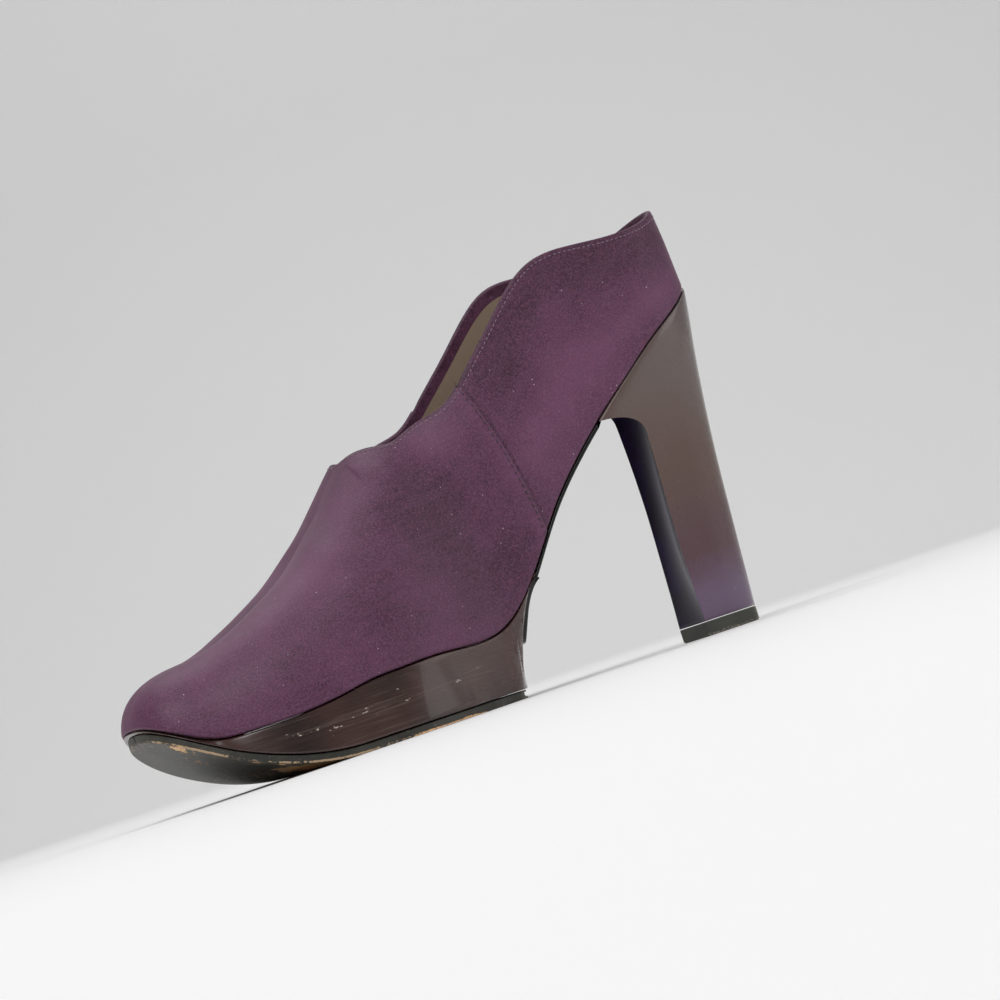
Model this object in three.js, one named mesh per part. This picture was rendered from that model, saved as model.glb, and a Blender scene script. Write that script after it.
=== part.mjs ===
// A woman's platform court shoe for the right foot: a satin upper on a wedge platform that fades out under
// the toe, a glossy platform cover and flared heel, a leather outsole, a waist cover and a rubber top piece.
// Millimetres. While it is modelled, x runs from the back of the heel to the toe, y to the wearer's left and
// z up from the floor. At the end the shoe is centred over the origin.
import * as THREE from "three";
import { mergeVertices } from "three/addons/utils/BufferGeometryUtils.js";

// Driving sizes.
const shoeLength = 224.6; // level distance from the back of the heel to the toe
const ballWidth = 81.4; // outsole across the ball
const heelHeight = 112; // floor to the upper's edge at the back
const platformHeight = 21.4; // floor to the upper's edge under the ball
const crownHeight = 80; // upper's edge to the top that its sides aim at, a share of this at each section
const wallThickness = 1.8; // satin, stiffener and lining together
const outsoleThickness = 2.6;
const coverThickness = 1.8; // waist cover at its edges
const coverCrown = 1.2; // what the waist cover swells by in the middle
const insoleThickness = 2.5;
const toeLift = 24.6; // floor to the outsole's underside at the toe
const topPieceHeight = 4.6;
const topPieceWidth = 22.4;
const topPieceLength = 22.6;
const topPieceBack = 9.4; // how far the top piece's back lies in front of the shoe's back
const topPieceSide = -1.4; // how far its middle lies off the seat's middle line
const clearance = 0.3; // between pieces that are glued together
const seatClearance = 0.42; // the same, measured upright under the sloping upper
const soleInset = 0.8; // the outsole's edge inside the platform's
const breastDent = 8; // how far the heel's front face is hollowed at its top
const counterBulge = 2.2; // how far the upper swells over its edge
const coverInset = 0.8; // the waist cover's edge inside the upper's
const cornerRadius = 5; // of the platform's and the outsole's back corners
const platformLead = 5; // how much further forward the platform's back corners meet the upper
const leastPlatform = 0.15; // platform left over the outsole at the toe

const rollStart = 0.737 * shoeLength; // where the sole starts to lift towards the toe
const throatStart = 0.5 * shoeLength; // where the collar starts to close over the foot
const throatEnd = 0.59 * shoeLength; // where it has closed
const breastLine = 0.208 * shoeLength; // the heel's front at its top
const platformBack = 0.431 * shoeLength; // the platform's back edge on the floor
const hornBack = 0.402 * shoeLength; // where the platform's back runs out under the waist
const platformBackSkew = 0.2; // sideways slope of the platform's back edge
const platformBackBow = 4.2; // how far its middle stands out behind its corners
const seamStep = 0.5; // the vamp laps over the quarters by this
const seamFoot = 0.363 * shoeLength; // where that side seam ends on the feather line
const seamRun = 7; // how much further forward it meets the collar
const breastSkew = 0.26; // sideways slope of the heel's front at its top
const backEdgeRun = 0.13 * shoeLength; // over which the slope and bow of the back edge die away
const topPieceSkew = 0.066; // sideways slope of the top piece's front

// The upper's edge, called the feather line. Shares: at of the length, centre and half of the ball width,
// rise of what the heel stands higher than the platform, crown and rim of crownHeight, ridge of the length.
// ridge is where a section's sides would meet over the foot, rim how high the collar cuts them.
const feather = [
  { at: 0.0, centre: 0.01, half: 0.27, rise: 1.0, crown: 1.15, ridge: 0.25, rim: 0.33 },
  { at: 0.047, centre: 0.011, half: 0.274, rise: 0.926, crown: 1.15, ridge: 0.272, rim: 0.355 },
  { at: 0.105, centre: 0.01, half: 0.281, rise: 0.841, crown: 1.15, ridge: 0.302, rim: 0.425 },
  { at: 0.167, centre: 0.003, half: 0.291, rise: 0.731, crown: 1.15, ridge: 0.336, rim: 0.555 },
  { at: 0.225, centre: 0.0, half: 0.281, rise: 0.62, crown: 1.15, ridge: 0.366, rim: 0.665 },
  { at: 0.283, centre: -0.004, half: 0.276, rise: 0.496, crown: 1.15, ridge: 0.398, rim: 0.7 },
  { at: 0.337, centre: -0.01, half: 0.284, rise: 0.363, crown: 1.15, ridge: 0.428, rim: 0.715 },
  { at: 0.381, centre: -0.03, half: 0.31, rise: 0.231, crown: 1.14, ridge: 0.453, rim: 0.75 },
  { at: 0.421, centre: -0.06, half: 0.337, rise: 0.113, crown: 1.11, ridge: 0.476, rim: 0.79 },
  { at: 0.461, centre: -0.088, half: 0.369, rise: 0.031, crown: 1.04, ridge: 0.501, rim: 0.85 },
  { at: 0.515, centre: -0.09, half: 0.417, rise: -0.004, crown: 0.95, ridge: 0.535, rim: 0.84 },
  { at: 0.568, centre: -0.077, half: 0.46, rise: -0.001, crown: 0.87, ridge: 0.571, rim: 0.82 },
  { at: 0.613, centre: -0.059, half: 0.48, rise: 0.001, crown: 0.775, ridge: 0.603, rim: 0.76 },
  { at: 0.657, centre: -0.041, half: 0.483, rise: -0.004, crown: 0.68, ridge: 0.636, rim: 0.67 },
  { at: 0.702, centre: -0.022, half: 0.468, rise: -0.01, crown: 0.6, ridge: 0.67, rim: 0.59 },
  { at: 0.746, centre: -0.003, half: 0.448, rise: -0.028, crown: 0.54, ridge: 0.703, rim: 0.53 },
  { at: 0.791, centre: 0.01, half: 0.428, rise: -0.042, crown: 0.49, ridge: 0.737, rim: 0.48 },
  { at: 0.835, centre: 0.018, half: 0.402, rise: -0.048, crown: 0.445, ridge: 0.77, rim: 0.44 },
  { at: 0.88, centre: 0.019, half: 0.367, rise: -0.048, crown: 0.395, ridge: 0.803, rim: 0.39 },
  { at: 0.924, centre: 0.018, half: 0.33, rise: -0.036, crown: 0.34, ridge: 0.836, rim: 0.34 },
  { at: 0.96, centre: 0.028, half: 0.314, rise: 0.006, crown: 0.27, ridge: 0.863, rim: 0.27 },
  { at: 1.0, centre: 0.05, half: 0.303, rise: 0.074, crown: 0.18, ridge: 0.893, rim: 0.18 },
];

// The outsole's outline in the same shares.
const sole = [
  { at: 0.431, centre: -0.104, half: 0.302 },
  { at: 0.471, centre: -0.108, half: 0.359 },
  { at: 0.515, centre: -0.106, half: 0.41 },
  { at: 0.559, centre: -0.091, half: 0.457 },
  { at: 0.604, centre: -0.071, half: 0.489 },
  { at: 0.648, centre: -0.049, half: 0.5 },
  { at: 0.693, centre: -0.03, half: 0.491 },
  { at: 0.737, centre: -0.008, half: 0.47 },
  { at: 0.777, centre: 0.011, half: 0.45 },
  { at: 0.822, centre: 0.024, half: 0.424 },
  { at: 0.866, centre: 0.027, half: 0.393 },
  { at: 0.906, centre: 0.025, half: 0.361 },
  { at: 1.0, centre: 0.05, half: 0.31 },
];

// The heel from its seat, down 0, to the top piece, down 1. back and front are shares of what the heel's
// back and front move by from the seat to the top piece, half of what its half width shrinks by, dent of
// the hollow in its front. The front's share is also rounded at the seat, where the heel arches into it.
const heelRows = [
  { down: 0.0, back: 0.0, front: 1.03, half: 0.0, dent: 1.0 },
  { down: 0.02, back: 0.04, front: 1.035, half: 0.07, dent: 0.97 },
  { down: 0.05, back: 0.1, front: 1.04, half: 0.14, dent: 0.93 },
  { down: 0.1, back: 0.19, front: 1.05, half: 0.22, dent: 0.85 },
  { down: 0.2, back: 0.35, front: 1.06, half: 0.35, dent: 0.7 },
  { down: 0.35, back: 0.53, front: 1.06, half: 0.54, dent: 0.5 },
  { down: 0.5, back: 0.67, front: 1.05, half: 0.7, dent: 0.36 },
  { down: 0.7, back: 0.8, front: 1.02, half: 0.86, dent: 0.22 },
  { down: 0.85, back: 0.9, front: 1.01, half: 0.94, dent: 0.12 },
  { down: 1.0, back: 1.0, front: 1.0, half: 1.0, dent: 0.04 },
];

// A smooth curve through one column of a table: a natural cubic spline over the column named key.
function curveOf(table, column, key = "at") {
  const xs = table.map((row) => row[key]);
  const ys = table.map((row) => row[column]);
  const last = xs.length - 1;
  const bend = new Array(last + 1).fill(0);
  const share = new Array(last + 1).fill(0);
  for (let i = 1; i < last; i++) {
    const before = xs[i] - xs[i - 1];
    const after = xs[i + 1] - xs[i];
    const turn = 6 * ((ys[i + 1] - ys[i]) / after - (ys[i] - ys[i - 1]) / before);
    const weight = 2 * (before + after) - before * share[i - 1];
    share[i] = after / weight;
    bend[i] = (turn - before * bend[i - 1]) / weight;
  }
  for (let i = last - 1; i > 0; i--) bend[i] -= share[i] * bend[i + 1];
  return (x) => {
    let i = 0;
    while (i < last - 1 && x > xs[i + 1]) i++;
    const span = xs[i + 1] - xs[i];
    const a = (xs[i + 1] - x) / span;
    const b = 1 - a;
    const sag = ((a ** 3 - a) * bend[i] + (b ** 3 - b) * bend[i + 1]) * (span * span) / 6;
    return a * ys[i] + b * ys[i + 1] + sag;
  };
}

const mix = (a, b, share) => a + (b - a) * share;
const clamp = (value, low, high) => Math.min(high, Math.max(low, value));

// Shares from 0 to 1 that lie closer together at both ends.
const easeBoth = (share) => (1 - Math.cos(Math.PI * share)) / 2;

// How much of its full width an outline still has near a blunt end: 1 away from it, 0 at the end itself.
function endRounding(distance, reach, power) {
  const past = clamp(1 - distance / reach, 0, 1);
  return (1 - past ** power) ** (1 / power);
}

const toeReach = 0.097 * shoeLength; // length of the toe's rounding
const heelReach = 0.108 * shoeLength; // length of the heel's rounding
const toePower = 2.6; // over 2 is squarer than an ellipse
const heelPower = 2.15;

const featherCentre = curveOf(feather, "centre");
const featherHalf = curveOf(feather, "half");
const featherRise = curveOf(feather, "rise");
const crownShare = curveOf(feather, "crown");
const ridgeShare = curveOf(feather, "ridge");
const rimShare = curveOf(feather, "rim");
const soleCentre = curveOf(sole, "centre");
const soleHalf = curveOf(sole, "half");

const roundToe = (x) => endRounding(shoeLength - x, toeReach, toePower);
const roundHeel = (x) => endRounding(x, heelReach, heelPower);
const featherHeight = (x) =>
  platformHeight + (heelHeight - platformHeight) * featherRise(x / shoeLength);
const centreLine = (x) => ballWidth * featherCentre(x / shoeLength);
const featherWidth = (x) =>
  ballWidth * featherHalf(x / shoeLength) * roundToe(x) * roundHeel(x);
const soleLine = (x) => ballWidth * soleCentre(x / shoeLength);
const cornerCut = (x) => cornerRadius * (1 - endRounding(x - platformBack, cornerRadius, 2));
const soleWidth = (x) => (ballWidth * soleHalf(x / shoeLength) - cornerCut(x)) * roundToe(x);
const soleUnderside = (x) =>
  toeLift * clamp((x - rollStart) / (shoeLength - rollStart), 0, 1) ** 2;

// A mesh from loose triangles or an indexed geometry: equal corners are welded and flat triangles dropped.
function meshOf(name, material, geometry) {
  geometry.deleteAttribute("normal");
  geometry.deleteAttribute("uv");
  const welded = mergeVertices(geometry, 1e-4);
  const corners = welded.index.array;
  const kept = [];
  for (let i = 0; i < corners.length; i += 3) {
    const [a, b, c] = corners.slice(i, i + 3);
    if (a !== b && b !== c && c !== a) kept.push(a, b, c);
  }
  welded.setIndex(kept);
  welded.computeVertexNormals();
  const mesh = new THREE.Mesh(welded, material);
  mesh.name = name;
  return mesh;
}

// A solid bent out of a block. place takes the shares along (0 to 1), across (-1 to 1) and up (0 to 1).
function bentBlock(name, material, steps, place) {
  const geometry = new THREE.BoxGeometry(1, 1, 1, ...steps);
  const spots = geometry.getAttribute("position");
  for (let i = 0; i < spots.count; i++) {
    const spot = place(spots.getX(i) + 0.5, 2 * spots.getY(i), spots.getZ(i) + 0.5);
    spots.setXYZ(i, ...spot);
  }
  return meshOf(name, material, geometry);
}

// A point of the upper. side is 1 for the inner side of the foot and -1 for the outer, angle runs up the
// section's arc in radians, and depth is measured into the wall.
const squareness = 0.83; // under 1 makes the section squarer than an ellipse
const lean = 0.11; // share of the way to the ridge that the sides lean in over their height
function upperPoint(x, side, angle, depth) {
  const step = 0.05;
  const back = clamp(x - step, 0, shoeLength);
  const front = clamp(x + step, 0, shoeLength);
  const outline = (at) => centreLine(at) + side * featherWidth(at);
  const run = new THREE.Vector2(front - back, outline(front) - outline(back)).normalize();
  let out = new THREE.Vector2(-run.y * side, run.x * side);
  if (x <= 0) out = new THREE.Vector2(-1, 0);
  if (x >= shoeLength) out = new THREE.Vector2(1, 0);
  const bulge = counterBulge * (1 - x / shoeLength);
  const swell = bulge * Math.sin(2 * angle) * Math.cos(angle) - depth;
  const footX = x + out.x * swell;
  const footY = outline(x) + out.y * swell;
  const ridgeX = shoeLength * ridgeShare(x / shoeLength);
  const ridgeY = centreLine(ridgeX);
  const upward = Math.sin(angle) ** squareness;
  const inward = mix(1 - Math.max(0, Math.cos(angle)) ** squareness, upward, lean);
  return [
    mix(footX, ridgeX, inward),
    mix(footY, ridgeY, inward),
    featherHeight(x) + (crownHeight * crownShare(x / shoeLength) - depth) * upward,
  ];
}

// The upper's sections lie closer together at the heel, around the throat and at the toe.
// The side seam takes two of them, close to each other.
const quarterSteps = 15;
const collarSteps = quarterSteps + 10;
const vampSteps = 13;
function station(i) {
  if (i < quarterSteps) return mix(seamFoot, 0, Math.cos((Math.PI * i) / (2 * (quarterSteps - 1))));
  if (i <= collarSteps) {
    const past = (i - quarterSteps) / (collarSteps - quarterSteps);
    return mix(seamFoot + 1, throatEnd, Math.sin((Math.PI * past) / 2));
  }
  const share = Math.sin((Math.PI * (i - collarSteps)) / (2 * vampSteps));
  return mix(throatEnd, shoeLength, share);
}

// Where the collar cuts the section at x, as an angle up its arc.
function rimAngle(x) {
  const open = endRounding(throatEnd - x, throatEnd - throatStart, 2);
  const cut = Math.min(1, rimShare(x / shoeLength) / crownShare(x / shoeLength));
  return mix(Math.PI / 2, Math.asin(cut ** (1 / squareness)), open);
}

// The hollow upper: an outer and an inner skin for each side of the foot, closed by the collar's and the
// lower edge's rims. In front of the throat both sides meet on the ridge.
function makeUpper(material) {
  const rows = 13;
  const stations = Array.from({ length: collarSteps + vampSteps + 1 }, (_, i) => station(i));
  const corners = [];
  const quad = (a, b, c, d, side) => {
    if (side > 0) corners.push(...a, ...b, ...c, ...a, ...c, ...d);
    else corners.push(...a, ...c, ...b, ...a, ...d, ...c);
  };
  for (const side of [1, -1]) {
    const skin = (depth) =>
      stations.map((x, k) => {
        const near = clamp(1 - Math.abs(x - seamFoot) / (5 * seamRun), 0, 1);
        const lap = depth === 0 && k >= quarterSteps ? seamStep : 0;
        return Array.from({ length: rows + 1 }, (_, j) => {
          const at = x + (seamRun * near * j) / rows;
          return upperPoint(at, side, (rimAngle(at) * j) / rows, depth - lap);
        });
      });
    const outer = skin(0);
    const inner = skin(wallThickness);
    for (let k = 0; k + 1 < stations.length; k++) {
      for (let j = 0; j < rows; j++) {
        quad(outer[k][j], outer[k][j + 1], outer[k + 1][j + 1], outer[k + 1][j], side);
        quad(inner[k][j], inner[k + 1][j], inner[k + 1][j + 1], inner[k][j + 1], side);
      }
      quad(outer[k][0], outer[k + 1][0], inner[k + 1][0], inner[k][0], side);
      if (k < collarSteps)
        quad(outer[k][rows], inner[k][rows], inner[k + 1][rows], outer[k + 1][rows], side);
    }
  }
  const geometry = new THREE.BufferGeometry();
  geometry.setAttribute("position", new THREE.Float32BufferAttribute(corners, 3));
  return meshOf("upper", material, geometry);
}

// The insole lies inside the upper's lower edge.
function makeInsole(material) {
  const inset = wallThickness + clearance;
  const steps = collarSteps + vampSteps;
  return bentBlock("insole", material, [steps, 4, 1], (along, across, up) => {
    const x = station(Math.round(along * steps));
    const height = crownHeight * crownShare(x / shoeLength) - inset;
    const angle = Math.asin(((insoleThickness * up) / height) ** (1 / squareness));
    const inner = upperPoint(x, 1, angle, inset);
    const outer = upperPoint(x, -1, angle, inset);
    return [
      mix(outer[0], inner[0], (across + 1) / 2),
      mix(outer[1], inner[1], (across + 1) / 2),
      featherHeight(x) + insoleThickness * up,
    ];
  });
}

// The platform's back face: a hollow curve from the horn under the waist down to the sole's back edge.
const hornThickness = 0.6;
const hornFoot = featherHeight(hornBack) - seatClearance - hornThickness;
const platformFloor = outsoleThickness + clearance;
const backCurve = new THREE.CubicBezierCurve(
  new THREE.Vector2(hornBack, hornFoot),
  new THREE.Vector2(mix(hornBack, platformBack, 0.43), mix(hornFoot, platformFloor, 0.11)),
  new THREE.Vector2(mix(hornBack, platformBack, 0.95), mix(hornFoot, platformFloor, 0.54)),
  new THREE.Vector2(platformBack, platformFloor),
);
function backFace(down, across, offset = 0) {
  const spot = backCurve.getPoint(down);
  const run = backCurve.getTangent(down);
  const centre = mix(centreLine(hornBack), soleLine(platformBack), down);
  const half = mix(featherWidth(hornBack), soleWidth(platformBack), down ** 2);
  const skew = platformBackSkew * across * half * down - platformBackBow * (1 - across * across) * down;
  return [
    spot.x + skew + run.y * offset,
    centre + across * half,
    spot.y - run.x * offset,
  ];
}

// The wedge platform: thin at the horn, full under the ball and nothing at the toe.
function makePlatform(material) {
  const backShare = 0.34; // share of the steps that the back face takes
  const topAtBackEdge = platformBack + platformLead;
  return bentBlock("platform_cover", material, [40, 6, 4], (along, across, up) => {
    const behind = clamp(along / backShare, 0, 1);
    const ahead = easeBoth(clamp((along - backShare) / (1 - backShare), 0, 1));
    const soleX = mix(platformBack, shoeLength, ahead);
    const topX = mix(mix(hornBack, topAtBackEdge, behind), shoeLength, ahead);
    const fade = 1 - clamp((soleX - platformBack) / backEdgeRun, 0, 1);
    const soleY = across * soleWidth(soleX);
    const bow = platformBackBow * (1 - across * across);
    const foot =
      along < backShare
        ? backFace(behind, across)
        : [
            soleX + (platformBackSkew * soleY - bow) * fade,
            soleLine(soleX) + soleY,
            soleUnderside(soleX) + platformFloor,
          ];
    const head = [
      topX,
      centreLine(topX) + across * featherWidth(topX),
      Math.max(featherHeight(topX) - seatClearance, foot[2] + leastPlatform),
    ];
    return [mix(foot[0], head[0], up), mix(foot[1], head[1], up), mix(foot[2], head[2], up)];
  });
}

// The outsole under the platform, a little inside its edge, with the toe's lift.
function makeOutsole(material) {
  return bentBlock("outsole", material, [30, 6, 1], (along, across, up) => {
    const share = easeBoth(along);
    const x = mix(platformBack + soleInset, shoeLength - soleInset, share);
    const outlineX = mix(platformBack, shoeLength, share);
    const inset = soleInset * endRounding(1 - share, 1, 2);
    const half = Math.max(0, soleWidth(outlineX) - inset);
    const fade = 1 - clamp((outlineX - platformBack) / backEdgeRun, 0, 1);
    return [
      x + (platformBackSkew * across * half - platformBackBow * (1 - across * across)) * fade,
      soleLine(outlineX) + across * half,
      soleUnderside(x) + outsoleThickness * up,
    ];
  });
}

// The waist cover runs from the heel's front along the waist and part of the way down the platform's back.
const coverEnd = 0.68; // how far down the back face it reaches
const coverEndHalf = 0.235 * ballWidth;
const coverCorner = 8; // rounding at its front corners
function makeWaistCover(material) {
  const waistShare = 0.56; // share of the steps on the waist itself
  const backRun = backCurve.getLength();
  const hornSharpness = 8; // how late the cover drops to clear the horn
  return bentBlock("waist_cover", material, [34, 10, 1], (along, across, up) => {
    const swell = coverThickness + coverCrown * (1 - across * across);
    const offset = clearance + swell * (1 - up);
    const seatHalf = featherWidth(breastLine);
    const edge = breastLine + clearance - heelHollow(across) + breastSkew * across * seatHalf;
    if (along < waistShare) {
      const x = mix(edge, hornBack, along / waistShare);
      const half = featherWidth(x) - coverInset;
      const step = (hornThickness + clearance) * (x / hornBack) ** hornSharpness;
      const drop = offset + seatClearance - clearance + step;
      return [x, centreLine(x) + across * half, featherHeight(x) - drop];
    }
    const down = coverEnd * ((along - waistShare) / (1 - waistShare));
    const half = mix(featherWidth(hornBack), soleWidth(platformBack), down ** 2);
    const corner = coverCorner * (1 - endRounding((coverEnd - down) * backRun, coverCorner, 2));
    const own = mix(half - coverInset, coverEndHalf, down / coverEnd) - corner;
    return backFace(down, (across * own) / half, offset);
  });
}

// The heel: a rounded back, a front face that is hollowed towards its top, and a seat that fits the upper.
const heelBackAt = curveOf(heelRows, "back", "down");
const heelFrontAt = curveOf(heelRows, "front", "down");
const heelHalfAt = curveOf(heelRows, "half", "down");
const heelDentAt = curveOf(heelRows, "dent", "down");
const heelHollow = (across) => breastDent * (1 - across * across);
const heelFull = 0.62; // share of the heel's depth over which its back is rounded
const heelRound = 2.3; // power of that rounding, a little squarer than an ellipse
const heelSteps = [12, 8, 20];
const seatPower = 1.4; // over 1 crowds the heel's levels towards its seat
const skewPower = 2.5; // how late its front turns from the seat's slope to the top piece's
const archReach = 0.115; // share of the heel's height over which its front arches into the seat
const archPower = 2.3;
function makeHeel(material) {
  const foot = topPieceHeight + clearance;
  const topFront = topPieceBack + topPieceLength;
  return bentBlock("heel", material, heelSteps, (along, across, up) => {
    const down = (1 - up) ** seatPower;
    const depth = easeBoth(along);
    const round = endRounding(depth, heelFull, heelRound);
    const half = round * mix(featherWidth(breastLine), topPieceWidth / 2, heelHalfAt(down));
    const skew = across * half * mix(breastSkew, topPieceSkew, down ** skewPower);
    const back = topPieceBack * heelBackAt(down);
    const reach = heelFrontAt(down) * endRounding(down, archReach, archPower);
    const front = mix(breastLine, topFront, reach) - heelHollow(across) * heelDentAt(down);
    const seatX = mix(0, breastLine - heelHollow(across), depth) + breastSkew * across * half * depth;
    const x = mix(back, front, depth) + skew * depth;
    return [
      x,
      mix(centreLine(x), topPieceSide, down) + across * half,
      mix(featherHeight(seatX) - seatClearance, foot, down),
    ];
  });
}

// The rubber top piece under the heel.
function makeTopPiece(material) {
  return bentBlock("top_piece", material, [14, 6, 1], (along, across, up) => {
    const depth = easeBoth(along);
    const half = (endRounding(depth, heelFull, heelRound) * topPieceWidth) / 2;
    const x = topPieceBack + topPieceLength * depth + topPieceSkew * across * half * depth;
    return [x, topPieceSide + across * half, topPieceHeight * up];
  });
}

const finish = (color, roughness) => new THREE.MeshStandardMaterial({ color, roughness, metalness: 0 });
const shoe = new THREE.Group();
shoe.name = "platform_shoe";
shoe.add(
  makeUpper(finish(0x5a3352, 0.62)),
  makeInsole(finish(0xb9a08a, 0.8)),
  makePlatform(finish(0x2c171f, 0.12)),
  makeOutsole(finish(0x3b3a34, 0.45)),
  makeWaistCover(finish(0x0c0c0e, 0.1)),
  makeHeel(finish(0x4a2c4c, 0.08)),
  makeTopPiece(finish(0x45463f, 0.8)),
);

// Centre the shoe over the origin, standing on the floor.
const bounds = new THREE.Box3().setFromObject(shoe);
shoe.position.set(
  -(bounds.min.x + bounds.max.x) / 2,
  -(bounds.min.y + bounds.max.y) / 2,
  -bounds.min.z,
);

export default shoe;
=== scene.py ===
import math
import bmesh
import bpy
import numpy as np
from mathutils import Matrix, Vector


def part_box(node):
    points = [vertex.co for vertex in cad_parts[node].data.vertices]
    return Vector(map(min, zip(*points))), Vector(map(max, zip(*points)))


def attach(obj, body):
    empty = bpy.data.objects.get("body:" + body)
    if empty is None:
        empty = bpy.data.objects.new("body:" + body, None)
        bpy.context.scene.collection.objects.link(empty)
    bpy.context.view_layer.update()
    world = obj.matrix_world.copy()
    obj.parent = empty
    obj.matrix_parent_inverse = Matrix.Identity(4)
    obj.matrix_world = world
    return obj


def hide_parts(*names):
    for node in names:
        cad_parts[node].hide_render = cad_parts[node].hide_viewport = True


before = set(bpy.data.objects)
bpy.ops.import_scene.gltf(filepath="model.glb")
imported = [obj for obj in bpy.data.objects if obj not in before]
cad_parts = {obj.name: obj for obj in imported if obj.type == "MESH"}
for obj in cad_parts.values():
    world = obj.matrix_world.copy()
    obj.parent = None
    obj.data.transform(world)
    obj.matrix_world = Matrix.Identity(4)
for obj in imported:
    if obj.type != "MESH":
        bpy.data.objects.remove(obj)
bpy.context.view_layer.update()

print("stage: sizes of the last")

shoe = {
    "length": 224.6, "ballWidth": 81.4, "heelHeight": 112.0, "platformHeight": 21.4, "crownHeight": 80.0,
    "wall": 1.8, "clearance": 0.3, "seatClearance": 0.42, "toeLift": 24.6, "rollStart": 0.737,
    "throatStart": 0.5, "throatEnd": 0.59, "breastLine": 0.208, "breastDent": 8.0, "breastSkew": 0.26,
    "toeReach": 0.097, "heelReach": 0.108, "toePower": 2.6, "heelPower": 2.15,
    "squareness": 0.83, "lean": 0.11, "counterBulge": 2.2,
}
length, ballWidth = shoe["length"], shoe["ballWidth"]
breastLine = shoe["breastLine"] * length

# The upper's lower edge, the feather line, in shares: at of the length, centre and half of the ball width,
# rise of what the heel stands higher than the platform, crown and rim of crownHeight, ridge of the length.
feather = {
    "at": [0, .047, .105, .167, .225, .283, .337, .381, .421, .461, .515, .568, .613, .657, .702, .746, .791,
           .835, .88, .924, .96, 1],
    "centre": [.01, .011, .01, .003, 0, -.004, -.01, -.03, -.06, -.088, -.09, -.077, -.059, -.041, -.022,
               -.003, .01, .018, .019, .018, .028, .05],
    "half": [.27, .274, .281, .291, .281, .276, .284, .31, .337, .369, .417, .46, .48, .483, .468, .448, .428,
             .402, .367, .33, .314, .303],
    "rise": [1, .926, .841, .731, .62, .496, .363, .231, .113, .031, -.004, -.001, .001, -.004, -.01, -.028,
             -.042, -.048, -.048, -.036, .006, .074],
    "crown": [1.15, 1.15, 1.15, 1.15, 1.15, 1.15, 1.15, 1.14, 1.11, 1.04, .95, .87, .775, .68, .6, .54,
              .49, .445, .395, .34, .27, .18],
    "ridge": [.25, .272, .302, .336, .366, .398, .428, .453, .476, .501, .535, .571, .603, .636, .67, .703,
              .737, .77, .803, .836, .863, .893],
    "rim": [.33, .355, .425, .555, .665, .7, .715, .75, .79, .85, .84, .82, .76, .67, .59, .53, .48, .44, .39,
            .34, .27, .18],
}
soleTable = {
    "at": [.431, .471, .515, .559, .604, .648, .693, .737, .777, .822, .866, .906, 1],
    "centre": [-.104, -.108, -.106, -.091, -.071, -.049, -.03, -.008, .011, .024, .027, .025, .05],
    "half": [.302, .359, .41, .457, .489, .5, .491, .47, .45, .424, .393, .361, .31],
}


def splineOf(table, column, key="at"):  # a natural cubic spline through one column
    xs, ys = np.array(table[key], float), np.array(table[column], float)
    count, span = len(xs), np.diff(xs)
    system, turn = np.eye(count), np.zeros(count)
    for i in range(1, count - 1):
        system[i, i - 1:i + 2] = span[i - 1], 2 * (span[i - 1] + span[i]), span[i]
        turn[i] = 6 * ((ys[i + 1] - ys[i]) / span[i] - (ys[i] - ys[i - 1]) / span[i - 1])
    bend = np.linalg.solve(system, turn)

    def value(x):
        x = np.asarray(x, float)
        i = np.clip(np.searchsorted(xs, x) - 1, 0, count - 2)
        a = (xs[i + 1] - x) / span[i]
        b = 1 - a
        sag = ((a ** 3 - a) * bend[i] + (b ** 3 - b) * bend[i + 1]) * span[i] ** 2 / 6
        return a * ys[i] + b * ys[i + 1] + sag
    return value


def mix(a, b, share):
    return a + (b - a) * share


def endRounding(distance, reach, power):  # 1 away from a blunt end, 0 at the end itself
    past = np.clip(1 - distance / reach, 0, 1)
    return (1 - past ** power) ** (1 / power)


def smooth(value, low, high):  # 0 below low, 1 above high, soft between
    t = np.clip((value - low) / (high - low), 0, 1)
    return t * t * (3 - 2 * t)


column = {name: splineOf(feather, name) for name in feather if name != "at"}
soleColumn = {name: splineOf(soleTable, name) for name in ("centre", "half")}


def roundToe(x):
    return endRounding(length - x, shoe["toeReach"] * length, shoe["toePower"])


def featherHeight(x):
    return mix(shoe["platformHeight"], shoe["heelHeight"], column["rise"](x / length))


def centreLine(x):
    return ballWidth * column["centre"](x / length)


def featherWidth(x):
    heel = endRounding(x, shoe["heelReach"] * length, shoe["heelPower"])
    return ballWidth * column["half"](x / length) * roundToe(x) * heel


def soleUnderside(x):
    start = shoe["rollStart"] * length
    return shoe["toeLift"] * np.clip((x - start) / (length - start), 0, 1) ** 2


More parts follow.
